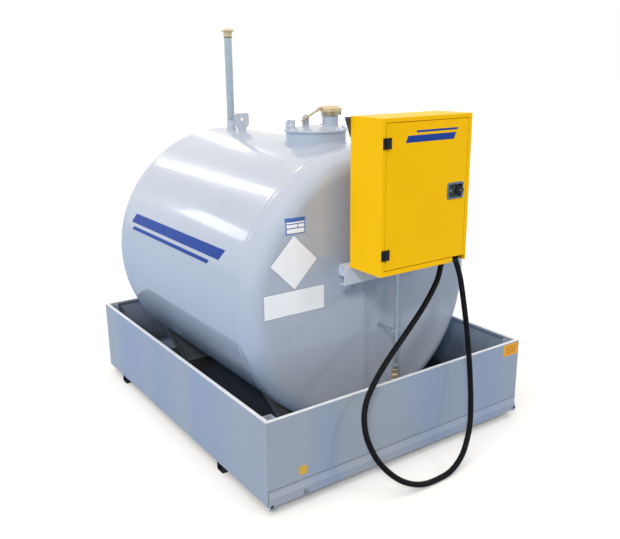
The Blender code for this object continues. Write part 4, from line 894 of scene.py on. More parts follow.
def make_collar():
    """The brass collar on the fill pipe, with the post that holds the cap's pin."""
    low, high, _ = box("fill_collar")
    _, pipe_high, centre = box("fill_pipe")
    base, top = low.z, pipe_high.z
    inner = radius_of("fill_pipe") + 0.0002
    outer = centre.x - low.x
    hinge = Vector((high.x - PIN_RADIUS, centre.y, high.z - PIN_RADIUS))
    half = EAR_THICKNESS / 2
    profile = [(inner, base)]
    profile += mm((-0.8, 0), (0, 0.8), (0, 6), (-1.4, 7), (-1.4, 9), (0, 10), x=outer, y=base)
    profile += [*mm((0, -0.8), (-0.8, 0), x=outer, y=top), (inner, top)]
    reach = 1.5 * EAR_THICKNESS + 0.0016
    pin = mm((2.8, 0), (3.6, 1.2), (2.2, 1.4), y=-reach) + mm((2.2, -1.4), (3.6, -1.2), (2.8, 0), y=reach)
    arm_low = (centre.x + inner + 0.003, hinge.y - half, base)
    post_low = (hinge.x - PIN_RADIUS, hinge.y - half, base + 0.001)
    shapes = [
        (add_turned, profile, 64, upright_at(centre.x, centre.y, 0.0), True),
        (add_box, arm_low, (high.x, hinge.y + half, top - 0.0003), 0.0012),
        (add_box, post_low, (high.x, hinge.y + half, high.z), 0.0012),
        (add_turned, pin, 16, along_y(*hinge)),
    ]
    for turn in (200.0, 320.0):
        side = spun(upright_at(centre.x, centre.y, base + 0.0155), math.radians(turn))
        shapes.append((add_screw, side @ facing_right(outer - 0.0003, 0.0, 0.0), 0.003))
    piece("collar_ring", BRONZE, "brass", shapes, "fill_collar")


def make_cap():
    """The hinged brass cap with its two ears and the locking lever."""
    low, high, _ = box("fill_cap")
    _, pipe_high, centre = box("fill_pipe")
    base, top = pipe_high.z + 0.0003, high.z
    hinge_z = BOXES["fill_collar"][1].z - PIN_RADIUS
    profile = mm((10, -2.6), (12, -0.8), (16, -0.2), (36, 0), (44.5, -1), (51.5, -4.2), (56, -7.8), y=top)
    profile += mm((57.5, -9.4), (59.5, -10.6), (60.5, -12.4), (60.5, -16.8), (57.9, -17.8), y=top)
    profile += mm((57.9, -20.4), (59.7, -21.2), y=top) + mm((60.1, 3), (57.5, 0), y=base)
    disc = [(add_turned, profile, 72, upright_at(centre.x, centre.y, 0.0))]
    near = EAR_THICKNESS / 2 + 0.0006
    for side in (-1, 1):
        left, right = sorted((centre.y + side * near, centre.y + side * (near + EAR_THICKNESS)))
        ear_low = (centre.x + 0.0545, left, hinge_z - PIN_RADIUS)
        disc.append((add_box, ear_low, (high.x, right, hinge_z + PIN_RADIUS), 0.0018))
    start = centre.x - 0.052
    outline = mm((0, 27), (-22, 26), (-32, 21), (-40.5, 12), (-48, 7.5), x=start, y=base)
    outline += mm((3, -38), (0, -41), (2, -46), x=low.x, y=base)
    outline += mm((-48, -0.5), (-36, 2), (-27, 8.5), (0, 8), x=start, y=base)
    pin = mm((4, -10), (4.6, -9), (4.6, 9), (4, 10))
    lever = [
        (add_outline, outline, 0.016, facing_front(0.0, centre.y, 0.0), 0.0016),
        (add_turned, pin, 20, along_y(start - 0.017, centre.y, base + 0.018)),
    ]
    piece("cap_disc", BRASS, "brass", disc, "fill_cap", body="cap")
    piece("cap_lever", BRONZE, "brass", lever, body="cap")


def make_lid_welds():
    """Beads at the feet of the hasp and the lid's ear."""
    beads = []
    low, high, _ = box("lid_ear")
    for x in (low.x, high.x):
        line = [(x, y, lid_height(x, y, 0.0006)) for y in spread(low.y, high.y - 0.012, 7)]
        beads.append((add_bead, line, 0.0024))
    low, high, _ = box("hasp_post")
    for y in (low.y, high.y):
        line = [(x, y, lid_height(x, y, 0.0006)) for x in spread(low.x, high.x, 6)]
        beads.append((add_bead, line, 0.0022))
    piece("lid_welds", TANK_PAINT, "tank_paint", beads)


# Vent and lug


def make_vent():
    low, high, centre = box("vent_socket")
    cap_low, cap_high, _ = box("vent_cap")
    outer = radius_of("vent_socket") - 0.0045
    radius = radius_of("vent_pipe")
    brim = radius_of("vent_cap")
    top, foot, lip = cap_high.z, low.z - 0.002, cap_low.z
    place = upright_at(centre.x, centre.y, 0.0)
    socket = [(outer, foot), *mm((0, -16), (-0.8, -14.5), (-2.6, -1.2), (-4, 0), x=outer, y=high.z)]
    socket += [(radius, high.z), (radius, foot)]
    pipe = [(radius, low.z), *mm((0, 4), (2.4, 5), (2.4, 14), (0, 15.5), x=radius, y=high.z)]
    pipe.append((radius, BOXES["vent_pipe"][1].z))
    cap = mm((18, 0), (27.5, -1), (31, -2.8), y=top) + mm((-2, -10.2), (0, -12), (-0.6, -13.6), x=brim, y=top)
    cap += mm((34.5, -16), (29.5, -19), (27.5, -23), (27.5, -33), (26.2, -33.8), (26.2, -35.6), y=top)
    cap += mm((27.5, -36.4), (27.5, -44), (26.6, -45.2), (27.5, -46.4), y=top)
    cap += mm((27.5, 0.8), (26.7, 0), y=lip)
    # A black ring under the cap's collar: painted shade below the cap.
    ring = [(radius, lip - 0.0045), *mm((25.8, -3.9), (25.8, 0), y=lip), (radius, lip)]
    weld = ring_on_tank(centre.x, centre.y, outer + 0.0016, 0.001, 36)
    boss = [(add_turned, socket, 56, place, True), (add_bead, weld, 0.0036)]
    piece("vent_shade_ring", BLACK_PLASTIC, "black_plastic", [(add_turned, ring, 56, place, True)])
    piece("vent_boss", TANK_PAINT, "tank_paint", boss, "vent_socket")
    piece("vent_tube", GALVANISED, "galvanised", [(add_turned, pipe, 56, place)], "vent_pipe")
    piece("vent_hood", BRASS, "brass", [(add_turned, cap, 64, place)], "vent_cap")


def make_lug_welds():
    low, high, _ = box("lifting_lug")
    beads = []
    for y in (low.y, high.y):
        line = [(x, y, tank_height(x, 0.001)) for x in spread(-LUG_FOOT, LUG_FOOT, 8)]
        beads.append((add_bead, line, 0.0034))
    piece("lug_welds", TANK_PAINT, "tank_paint", beads)


# Bund


def make_strip_folds():
    """The end strips' folded faces, leaning out from under the wall and then upright."""
    lap = BOXES["bund_front_wall"][0].z - 0.0004
    for name, side in zip(STRIPS, (-1, 1)):
        low, high, _ = box(name)
        face = low.y if side < 0 else high.y
        far = FOLD_OUT if side < 0 else CAD_BOX[1].y - face - 0.0002
        outline = [(0.0002, lap), (far - 0.0003, FOLD_Z + 0.001), (far, FOLD_Z)]
        outline += [(far, low.z + 0.001), (far - 0.001, low.z), (-0.0010, low.z), (-0.0010, lap)]
        rows = [[Vector((x, face + side * out, z)) for out, z in outline] for x in (low.x, high.x)]
        fold = name.replace("_strip", "_fold")
        piece(fold, STRIP_PAINT, "bund_paint", [(add_rows, rows, False, True)], angle=4.0)


def make_tabs():
    """Small lugs at the bund's front corners, each with a steel ring round a black disc that stands for its
    hole's painted shade.
    """
    face = BOXES[STRIPS[0]][0].y - FOLD_OUT
    outline = circle(48, TAB_HALF, 0.0, 1.4 * TAB_HALF)[:25] + [(-TAB_HALF, 0.0), (TAB_HALF, 0.0)]
    feet = [facing_front(x, face - 0.0022, base) for x, base in TABS]
    eyes = [facing_front(x, face - 0.0040, base + 1.35 * TAB_HALF) for x, base in TABS]
    ring = mm((7.6, 0), (11.8, 0), (11.8, 1.4), (7.6, 1.4))
    # A black disc inside each ring: painted shade of the hole.
    hole = mm((7.7, 0), (7.7, 0.4))
    tabs = [(add_outline, outline, 0.004, foot, 0.0006) for foot in feet]
    piece("bund_tabs", BUND_PAINT, "bund_paint", tabs)
    piece("tab_rings", BOLT_STEEL, "galvanised", [(add_turned, ring, 24, eye, True) for eye in eyes])
    piece("tab_hole_shades", BLACK_PLASTIC, "black_plastic", [(add_turned, hole, 24, eye) for eye in eyes])


def make_bund_welds():
    """Short tacks where the post sockets meet the walls, and along the front strip."""
    beads = []
    for name in SOCKETS:
        low, high, _ = box(name)
        x, wall_x = sorted((low.x, high.x), key=abs)
        y, wall_y = sorted((low.y, high.y), key=abs)
        for height in (0.12, 0.25, 0.38):
            for spot in ((x, wall_y), (wall_x, y)):
                beads.append((add_bead, [(*spot, height), (*spot, height + 0.035)], 0.0024))
    piece("socket_welds", BUND_PAINT, "bund_paint", beads)
    left = BOXES["bund_left_wall"][0].x + 0.06
    right = BOXES["bund_right_wall"][1].x - 0.06
    face = BOXES[STRIPS[0]][0].y
    lines = [[(x - 0.012, face, 0.1295), (x + 0.012, face, 0.1295)] for x in spread(left, right, 12)]
    piece("strip_tacks", BUND_PAINT, "bund_paint", [(add_bead, line, 0.0016) for line in lines])


def make_earth():
    """The earthing bolt on the front strip, and the blank stickers."""
    place = facing_front(EARTH_X, BOXES[STRIPS[0]][0].y - FOLD_OUT, EARTH_Z)
    wall_y = BOXES["bund_front_wall"][0].y
    orange = facing_front(STICKER_X, wall_y, STICKER_Z)
    bolt = [
        (add_turned, mm((14, 0), (14, 1.2)), 28, place),
        (add_bolt, moved(place, 0.0, 0.0, 0.0010), 0.017, 0.0095),
        (add_turned, mm((5, 9), (5, 20), (4, 21)), 16, place),
    ]
    label = facing_front(EARTH_LABEL_X, wall_y, EARTH_LABEL_Z)
    yellow = [(add_slab, 0.0225, 0.0225, 0.003, 0.0005, 0.0001, label)]
    bars = [
        (add_slab, 0.040, 0.0022, 0.0005, 0.0007, 0.0001, moved(orange, 0.0, rise, 0.0))
        for rise in (-0.016, 0.0, 0.016)
    ]
    piece("earth_bolt", BOLT_STEEL, "galvanised", bolt)
    piece("earth_sticker", LABEL_YELLOW, "yellow_paint", yellow)
    sticker = [(add_slab, 0.0595, 0.035, 0.002, 0.0005, 0.0001, orange)]
    piece("side_sticker", LABEL_ORANGE, "yellow_paint", sticker)
    piece("side_bars", LABEL_BROWN, "yellow_paint", bars)


# Cabinet


def make_slot_trim():
    """Rubber edging where the hose slot meets the cabinet's front."""
    low = BOXES["cabinet_box"][0]
    trim_low = (SLOT_LEFT, low.y - 0.0010, low.z - 0.0010)
    trim_high = (SLOT_RIGHT, low.y + 0.0002, low.z + 0.0110)
    piece("slot_trim", BLACK_PLASTIC, "black_plastic", [(add_box, trim_low, trim_high, 0.0004)])


def make_hinge_screws():
    face = BOXES["cabinet_box"][0].y - 0.0053
    for level in ("upper", "lower"):
        knuckle = BOXES[f"{level}_hinge_door_leaf"][0].x + 0.0065
        for leaf, body in (("fixed", "root"), ("door", "door")):
            low, high, _ = box(f"{level}_hinge_{leaf}_leaf")
            x = (low.x + knuckle - 0.0071) / 2 if leaf == "fixed" else (high.x + knuckle + 0.0071) / 2
            places = [facing_front(x, face, z) for z in (low.z + 0.010, high.z - 0.010)]
            screws = [(add_screw, place, 0.0042) for place in places]
            piece(f"{level}_{leaf}_screws", BLACK_PLASTIC, "black_plastic", screws, body=body)


def make_lock():
    """A round-cornered bezel with a sunk tray, a key cylinder and a dark panel."""
    low, high, centre = box("lock_plate")
    half_x = (high.x - low.x) / 2
    half_z = (high.z - low.z) / 2
    back = BOXES["cabinet_door"][0].y - 0.0003
    place = facing_front(centre.x, back, centre.z)
    depth = high.y - back
    deep = -1000.0 * depth
    outer = ((10, 0.5, deep), (10, 0.5, 0), (0, 12, 0), (0, 12, 1.4), (1.6, 11, 3))
    tray = ((10.6, 6, 3), (12, 5, 1), (12, 5, 2 + deep))
    ring = mm((10.5, 0), (10.5, 6), (9.8, 6.8), (7.8, 6.8), (7.4, 6), (3, 5.8))
    collar = mm((21.5, 0), (21.5, 2.2), (20.8, 3), (20.3, 3))
    bezel = [(add_rows, slab_rows(half_x, half_z, place, *outer, *tray), False, True)]
    floor = moved(place, 0.0, 0.0, 0.0021 - depth)
    key = [
        (add_turned, ring, 40, moved(place, KEY_X, 0.0, 0.0038 - depth)),
        (add_turned, collar, 56, moved(place, KNOB_X, 0.0, 0.0038 - depth)),
    ]
    # A black slab in the key cylinder: painted shade of the keyway.
    keyway_shade = [(add_slab, 0.0006, 0.0034, 0.0005, 0.0005, 0.0001, moved(place, KEY_X, 0.0, 0.0096 - depth))]
    panel = [(add_slab, half_x - 0.0135, half_z - 0.0135, 0.004, 0.0018, 0.0005, floor)]
    piece("lock_bezel", CHROME, "lock_metal", bezel, "lock_plate", body="door")
    piece("lock_panel", DARK_PANEL, "black_plastic", panel, body="door")
    piece("lock_key", CHROME, "lock_metal", key, body="door")
    piece("lock_slit", BLACK_PLASTIC, "black_plastic", keyway_shade, body="door")


def make_knob():
    """A ribbed rotary knob with a pointer."""
    low, high, centre = box("lock_knob")
    radius = (high.z - low.z) / 2
    place = facing_front(low.x + radius, high.y, centre.z)
    length = high.y - low.y
    steps = [(0.97, 0.0, 0.0), (0.97, 0.0068, 0.0), (1.0, 0.0084, 0.0), (1.0, 0.0100, 0.0008)]
    steps += [(1.0, length - 0.0022, 0.0012), (0.96, length - 0.0006, 0.0010), (0.90, length, 0.0)]
    steps += [(0.66, length, 0.0), (0.62, length - 0.0010, 0.0)]
    rows = [
        circle_row(
            radius * share, height, 144, place, lambda i: rib * (0.5 - 0.5 * math.cos(math.tau * i / 8))
        )
        for share, height, rib in steps
    ]
    pointer_low = (low.x + radius, low.y + 0.0026, centre.z - radius / 4)
    pointer = (add_box, pointer_low, (high.x, low.y + 0.0064, centre.z + radius / 4), 0.0012)
    mark = moved(place, radius * 0.30, 0.0, length - 0.0010)
    line = [(add_slab, radius * 0.26, 0.0009, 0.0005, 0.0006, 0.0001, mark)]
    grip = [(add_rows, rows, False, True), pointer]
    piece("knob_grip", BLACK_PLASTIC, "black_plastic", grip, "lock_knob", body="knob")
    piece("knob_mark", LABEL_WHITE, "black_plastic", line, body="knob")


def make_door_seal():
    low, high, centre = box("cabinet_door")
    inset = 0.0075
    half_x = (high.x - low.x) / 2 - inset
    half_z = (high.z - low.z) / 2 - inset
    place = facing_front(centre.x, low.y + 0.0026, centre.z)
    steps = ((0, 6, -0.1), (0, 6, -9), (2.5, 5, -11.5), (6.5, 4, -11), (9, 4, -8), (9, 4, -0.1))
    rows = slab_rows(half_x, half_z, place, *steps)
    piece("door_seal", BLACK_PLASTIC, "black_plastic", [(add_rows, rows, True)], body="door")


# Suction line


def make_suction():
    low, high, centre = box("suction_pipe")
    radius = radius_of("suction_pipe")
    place = upright_at(centre.x, centre.y, 0.0)
    unions = []
    for base in (low.z + 0.002, high.z - 0.155):
        unions.append((add_turned, mm((16.5, 0), (18, 1.5), (18, 16.5), (16.5, 18), y=base), 6, place))
        unions.append((add_turned, mm((14, 17.5), (14, 25.5), (12.8, 27), y=base), 36, place))
    tube = [(add_turned, [(radius, low.z), (radius, high.z)], 36, place)]
    piece("suction_tube", GALVANISED, "galvanised", tube, "suction_pipe")
    piece("suction_unions", GALVANISED, "galvanised", unions, angle=25.0)


def make_valve():
    """A ball valve with two nuts, a stem and a flat lever that points up."""
    low, high, middle = box("suction_valve")
    centre = box("suction_pipe")[2]
    outer = radius_of("suction_valve")
    collar = (high.z - low.z) / 4
    place = upright_at(centre.x, centre.y, 0.0)
    ball = [(0.0155, low.z + collar)]
    for turn in spread(-math.pi / 3, math.pi / 3, 9):
        ball.append((0.0190 * math.cos(turn) + 0.0010, middle.z + 0.0190 * math.sin(turn)))
    ball.append((0.0155, high.z - collar))
    valve = []
    for base in (low.z, high.z - collar):
        nut = [(outer * 0.92, base), (outer, base + 0.0018), (outer, base + collar - 0.0018)]
        valve.append((add_turned, [*nut, (outer * 0.92, base + collar)], 6, place))
    valve.append((add_turned, ball, 40, place))
    stem = facing_front(centre.x, low.y + 0.0035, middle.z)
    valve.append((add_turned, mm((6.5, 0), (6.5, 6.5), (4.5, 7), (4.5, 10.5)), 24, stem))
    outline = mm((-9, -7.5), (10, -8), (13, -6), (70, -5.5), (74, -3))
    outline += mm((74, 3), (70, 5.5), (13, 6), (10, 8), (-9, 7.5))
    lever = spun(facing_front(centre.x, low.y - 0.0065, middle.z), math.pi / 2)
    handle = [
        (add_outline, outline, 0.0028, lever, 0.0008),
        (add_bolt, facing_front(centre.x, low.y - 0.0079, middle.z), 0.0080, 0.0050),
    ]
    piece("valve_body", BRASS, "brass", valve, "suction_valve", angle=25.0)
    piece("valve_handle", GALVANISED, "galvanised", handle)


def make_outlet():
    """The elbow from the valve to the tank's end, with its flange and four bolts."""
    low, high, _ = box("suction_outlet")
    centre = box("suction_pipe")[2]
    bore = radius_of("suction_outlet")
    axis_z = low.z + bore
    points = [(centre.x, centre.y, high.z), (centre.x, centre.y, axis_z + PIPE_BEND)]
    for out, rise in arc(PIPE_BEND, 6)[1:]:
        points.append((centre.x, centre.y + rise, axis_z + PIPE_BEND - out))
    points.append((centre.x, high.y + 0.002, axis_z))
    flange = facing_front(centre.x, high.y, axis_z)
    outlet = [
        (add_tube, points, bore, 40, 32),
        (add_turned, [*mm((34, -1), (34, 7), (33.2, 8)), (bore, 0.008)], 48, flange),
        (add_turned, mm((3.5, 8), (3.5, 14), (0, 16.5), x=bore), 48, flange),
    ]
    spots = circle(4, 0.0262, centre.x, axis_z, 0.5)
    bolts = [(add_bolt, facing_front(x, high.y - 0.008, z), 0.0085, 0.0055) for x, z in spots]
    piece("outlet_tube", GALVANISED, "galvanised", outlet, "suction_outlet")
    piece("outlet_bolts", BOLT_STEEL, "galvanised", bolts)


def make_clamp():
    """The pipe's split clamp on a stud from the tank's end."""
    low, high, middle = box("pipe_clamp")
    centre = box("suction_pipe")[2]
    inner = radius_of("suction_pipe") + 0.0003
    outer = radius_of("pipe_clamp")
    profile = [(inner, low.z), *mm((-0.8, 0), (0, 0.8), x=outer, y=low.z)]
    profile += [*mm((0, -0.8), (-0.8, 0), x=outer, y=high.z), (inner, high.z)]
    shapes = [(add_turned, profile, 40, upright_at(centre.x, centre.y, 0.0), True)]
    for side in (-1, 1):
        left, right = sorted((centre.x + side * (outer - 0.0015), centre.x + side * (outer + 0.013)))
        wing_low = (left, centre.y - 0.0045, low.z)
        bolt = facing_front(centre.x + side * (outer + 0.0065), centre.y - 0.0045, middle.z)
        shapes.append((add_box, wing_low, (right, centre.y + 0.0045, high.z), 0.0008))
        shapes.append((add_bolt, bolt, 0.009, 0.0058))
    stud = along_y(centre.x, centre.y + outer - 0.001, middle.z)
    reach = high.y - centre.y - outer + 0.001
    shapes += [
        (add_turned, [(0.005, 0.0), (0.005, reach)], 20, stud),
        (add_bolt, moved(stud, 0.0, 0.0, reach * 0.12), 0.0140, 0.0070),
        (add_turned, mm((18, -3), (18, 1), y=reach), 32, stud),
    ]
    piece("clamp_ring", GALVANISED, "galvanised", shapes, "pipe_clamp", angle=25.0)


# Pump set


def make_pump():
    """The pump's cover, feet and ports, and the cover's bolts."""
    low, high, centre = box("pump_body")
    face = mm((50, -1), (50, 5), (48, 6.5), (30, 6.5), (28, 9), (14, 10), (12, 8.5))
    port = facing_right(high.x, box("flow_meter")[2].y, centre.z)
    cover = [(add_turned, face, 64, facing_front(centre.x, low.y, centre.z))]
    for x in (low.x + 0.010, high.x - 0.010):
        foot_low = (x - 0.008, high.y - 0.110, low.z - 0.010)
        cover.append((add_box, foot_low, (x + 0.008, high.y - 0.020, low.z + 0.002), 0.0015))
    stub = upright_at(PUMP_PORT_X, PUMP_PORT_Y, low.z)
    cover.append((add_turned, mm((20, -12), (21.5, -10), (21.5, 2)), 40, stub))
    cover.append((add_turned, mm((24, -1), (24, 6), (22, 8)), 40, port))
    spots = circle(6, 0.0405, centre.x, centre.z, 0.5)
    bolts = [(add_bolt, facing_front(x, low.y - 0.0065, z), 0.010, 0.0065) for x, z in spots]
    piece("pump_cover", CASTING, "cast_metal", cover)
    piece("pump_bolts", BOLT_STEEL, "galvanised", bolts)


def make_motor():
    """A finned motor with a smooth end bell and a terminal box."""
    low, high, centre = box("pump_motor")
    radius = (high.z - low.z) / 2
    place = facing_left(high.x, centre.y, centre.z)
    length = high.x - low.x
    steps = [(0.0, 0.80, 0.0), (0.010, 0.80, 0.0), (0.012, 0.98, 0.0), (0.020, 0.98, 0.0)]
    steps += [(0.0205, 1.0, 0.0055), (length - 0.036, 1.0, 0.0055), (length - 0.0355, 0.97, 0.0)]
    steps += [(length - 0.004, 0.95, 0.0), (length - 0.001, 0.90, 0.0), (length, 0.80, 0.0)]
    rows = [
        circle_row(radius * share, height, 216, place, lambda i: fin if i % 6 > 2 else 0.0)
        for height, share, fin in steps
    ]
    box_low = (centre.x - 0.030, centre.y - 0.024, high.z - 0.006)
    terminals = (add_box, box_low, (centre.x + 0.030, centre.y + 0.024, high.z + 0.022), 0.0025)
    piece("motor_case", CASTING, "cast_metal", [(add_rows, rows, False, True), terminals], "pump_motor")


def make_meter():
    """A round meter between the pump and the hose, with a plain dial."""
    low, high, middle = box("flow_meter")
    centre = Vector((METER_X, middle.y, high.z - METER_RADIUS))
    hose_x = HOSE_ROUTE[0][0]
    front = facing_front(centre.x, low.y, centre.z)
    profile = mm((-4, 0), (0, 4), x=METER_RADIUS, y=low.y - high.y)
    profile += mm((0, -6), (-1, -2), (-4, 0), (-10, 0), (-11, -4), x=METER_RADIUS)
    points = [tuple(centre), (hose_x - PIPE_BEND, centre.y, centre.z)]
    for out, rise in arc(PIPE_BEND, 6)[1:]:
        points.append((hose_x - PIPE_BEND + out, centre.y, centre.z - rise))
    points.append((hose_x, centre.y, low.z + 0.0002))
    inlet = facing_right(low.x, centre.y, centre.z)
    case = [
        (add_turned, profile, 72, front),
        (add_turned, [(0.016, 0.0003), (0.016, METER_X - low.x)], 32, inlet),
        (add_tube, points, 0.0165, 48, 32),
    ]
    dial = [(add_turned, mm((-11.2, 0), (-11.2, 0.6), x=METER_RADIUS), 64, moved(front, 0.0, 0.0, -0.0040))]
    floor = moved(front, 0.0, 0.0, -0.0034)
    marks = []
    for i in range(20):
        half = 0.0022 if i % 2 == 0 else 0.0013
        tick = moved(spun(floor, math.tau * i / 20), 0.0, 0.0400 - half, 0.0)
        marks.append((add_slab, 0.0007, half, 0.0002, 0.0003, 0.0001, tick))
    needle = moved(spun(floor, math.radians(38.0)), 0.0, 0.012, 0.0003)
    marks.append((add_slab, 0.0010, 0.020, 0.0006, 0.0008, 0.0002, needle))
    marks.append((add_turned, mm((4.2, 0), (4.2, 1.8), (3, 2.4)), 24, floor))
    for x in spread(-0.01275, 0.01275, 4):
        marks.append((add_slab, 0.0037, 0.0052, 0.0006, 0.0005, 0.0001, moved(floor, x, -0.020, 0.0)))
    piece("meter_case", BLACK_PLASTIC, "black_plastic", case, "flow_meter")
    piece("meter_dial", LABEL_WHITE, "black_plastic", dial)
    piece("meter_marks", BLACK_PLASTIC, "black_plastic", marks)


def make_nozzle():
    """The nozzle in its holder: body, lever under its guard, and spout."""
    low, high, centre = box("nozzle")
    place = upright_at(centre.x, centre.y, 0.0)
    start = high.z - 0.004

    def bent(height, *pairs):
        return [(x, centre.y, z) for x, z in mm(*pairs, x=centre.x, y=height)]

    profile = mm((15.8, 0), (16.8, 1), (16.8, 18), (14.5, 22), (14.5, 86), (16.8, 92), (16.8, 120.5), y=low.z)
    profile += mm((22.5, 121.5), (24, 125), y=low.z) + mm((24, -14), (20.5, -4), (15, 0), y=high.z)
    bow = bent(low.z, (-12, 14), (-30, 18), (-40, 34), (-41, 58), (-34, 78), (-12, 88))
    lever = bent(low.z, (-10, 78), (-24, 66), (-26, 46), (-22, 30))
    guard = [(add_tube, bow, 0.0032, 36, 12), (add_tube, lever, 0.0028, 24, 10)]
    spout = [
        (add_tube, bent(start, (0, 0), (0, 50), (-3, 85), (-12, 118)), 0.0098, 30, 28),
        (add_turned, mm((12.8, 0), (12.8, 10), (11, 12), y=start), 6, place),
    ]
    piece("nozzle_body", BLACK_PLASTIC, "black_plastic", [(add_turned, profile, 48, place)], "nozzle")
    piece("nozzle_guard", BLACK_PLASTIC, "black_plastic", guard)
    piece("nozzle_spout", GALVANISED, "galvanised", spout)


def make_switch():
    """A switch box on the cabinet's back wall, with the motor's cable."""
    _, high, motor = box("pump_motor")
    top = high.z + 0.021
    wall = BOXES["cabinet_box"][1].y - 0.0012
    base = top + 0.190
    case = [(add_slab, 0.042, 0.058, 0.006, 0.052, 0.003, facing_front(motor.x, wall, base + 0.058))]
    for x in (-0.034, 0.034):
        for z in (0.009, 0.107):
            case.append((add_screw, facing_front(motor.x + x, wall - 0.0518, base + z), 0.0034))
    place = facing_front(motor.x, wall - 0.0518, base + 0.068)
    gland = mm((9.5, 0), (10.5, 2), (10.5, 9), (8.5, 10.5))
    grip = [
        (add_turned, mm((19, 0), (19, 4), (16.5, 6), (15.5, 18), (14, 19.5)), 40, place),
        (add_slab, 0.0035, 0.0165, 0.002, 0.0260, 0.001, place),
        (add_turned, gland, 12, upright_at(motor.x, wall - 0.026, base - 0.010)),
        (add_turned, gland, 12, upright_at(motor.x, motor.y, top)),
    ]
    points = [(motor.x, wall - 0.026, base), (motor.x, wall - 0.026, base - 0.040)]
    points += [(motor.x - 0.010, wall - 0.045, base - 0.095), (motor.x, motor.y, top + 0.035)]
    points.append((motor.x, motor.y, top + 0.004))
    piece("switch_case", GREY_PLASTIC, "black_plastic", case)
    piece("switch_grip", BLACK_PLASTIC, "black_plastic", grip)
    piece("motor_cable", BLACK_PLASTIC, "black_plastic", [(add_tube, points, 0.0042, 48, 14)])


def make_ferrules():
    """Crimped sleeves on the hose's two ends."""
    outer = HOSE_RADIUS + 0.0026
    profile = [(HOSE_RADIUS, -0.042), (outer, -0.0405)]
    for i in range(4):
        profile += mm((0, 0), (-1.2, 1.5), (-1.2, 4), (0, 5.5), x=outer, y=0.008 * i - 0.037)
    profile += mm((0, -2), (-1, -0.5), x=outer)
    ends = [(add_turned, profile, 40, upright_at(*HOSE_ROUTE[i])) for i in (0, -1)]
    piece("hose_ferrules", GALVANISED, "galvanised", ends)


# Blank plates and stripes


def end_depth(x, z):
    """Y of the tank's front end, flat in the middle and rounded at its edge."""
    out = max(0.0, math.hypot(x, z - TANK_Z) - (TANK_RADIUS - KNUCKLE))
    return TANK_FRONT + KNUCKLE - math.sqrt(max(0.0, KNUCKLE**2 - out**2))


def add_label(form, corners, low, high, steps=14):
    """A thin four-cornered label laid on the tank's front end."""
    edges = []
    for lift in (low, high):
        rows = []
        for i in range(steps + 1):
            left = Vector(corners[0]).lerp(Vector(corners[3]), i / steps)
            right = Vector(corners[1]).lerp(Vector(corners[2]), i / steps)
            spots = [left.lerp(right, j / steps) for j in range(steps + 1)]
            rows.append([form.verts.new((s.x, end_depth(s.x, s.y) - lift, s.y)) for s in spots])
        for here, there in zip(rows, rows[1:]):
            for j in range(steps):
                form.faces.new((here[j], here[j + 1], there[j + 1], there[j]))
        sides = [row[-1] for row in rows[1:]] + rows[-1][-2::-1] + [row[0] for row in rows[-2:0:-1]]
        edges.append(rows[0] + sides)
    under, over = edges
    for i in range(len(under)):
        form.faces.new((under[i - 1], under[i], over[i], over[i - 1]))


def oblong(left, base, right, top, inset=0.0):
    left, base, right, top = left + inset, base + inset, right - inset, top - inset
    return [(left, base), (right, base), (right, top), (left, top)]


def diamond(x, z, half):
    return [(x, z - half), (x + half, z), (x, z + half), (x - half, z)]


def make_plates():
    """Blank panels where the photograph has a hazard diamond, a sign and a data plate."""
    sign = (-0.660, 0.828, -0.298, 0.956)
    data = (-0.524, 1.238, -0.413, 1.318)
    left, base, right = data[:3]
    fields = [
        (left + 0.005, base + 0.005, right - 0.005, base + 0.027),
        (left + 0.005, base + 0.032, right - 0.045, base + 0.048),
        (right - 0.040, base + 0.032, right - 0.005, base + 0.048),
        (left + 0.005, base + 0.053, right - 0.005, base + 0.060),
    ]
    edges = [diamond(*HAZARD_PLACE, 0.141), oblong(*sign)]
    faces = [diamond(*HAZARD_PLACE, 0.136), oblong(*sign, 0.003)]
    piece("plate_edges", LABEL_EDGE, "tank_paint", [(add_label, edge, 0.0001, 0.0006) for edge in edges])
    piece("plate_faces", LABEL_WHITE, "tank_paint", [(add_label, face, 0.0002, 0.0010) for face in faces])
    piece("data_plate", LABEL_BLUE, "tank_paint", [(add_label, oblong(*data), 0.0001, 0.0010)])
    shapes = [(add_label, oblong(*field), 0.0003, 0.0014, 6) for field in fields]
    piece("data_fields", LABEL_WHITE, "tank_paint", shapes)


def add_wrap(form, start_y, end_y, start_turn, end_turn, slant):
    """A thin stripe wrapped on the tank's side, its ends cut at a slant."""
    steps = 8
    rows = []
    for y in (start_y, end_y):
        row = []
        for lift, order in ((0.0001, range(steps + 1)), (0.0007, range(steps, -1, -1))):
            for i in order:
                turn = math.radians(start_turn + (end_turn - start_turn) * i / steps)
                reach = TANK_RADIUS + lift
                place = (reach * math.cos(turn), y + slant * i / steps, TANK_Z + reach * math.sin(turn))
                row.append(Vector(place))
        rows.append(row)
    add_rows(form, rows, ends=True)


def make_stripes():
    """Plain slanted stripes where the photograph has a name."""
    side = [(add_wrap, -0.42, 0.74, 158.5, 163.0, 0.045), (add_wrap, -0.28, 0.74, 164.6, 166.2, 0.016)]
    place = facing_front(0.0, BOXES["cabinet_door"][0].y - 0.0002, 0.0)
    door = []
    bands = ((-0.075, 0.235, 1.672, 1.704, 0.014), (-0.010, 0.255, 1.716, 1.726, 0.005))
    for left, right, base, top, lean in bands:
        outline = [(left, base), (right, base), (right + lean, top), (left + lean, top)]
        door.append((add_outline, outline, 0.0006, place, 0.0001))
    piece("side_stripes", STRIPE_BLUE, "tank_paint", side)
    piece("door_stripes", STRIPE_BLUE, "yellow_paint", door, body="door")


# Stage


def add_grid(form, reach):
    bmesh.ops.create_grid(form, x_segments=1, y_segments=1, size=reach)


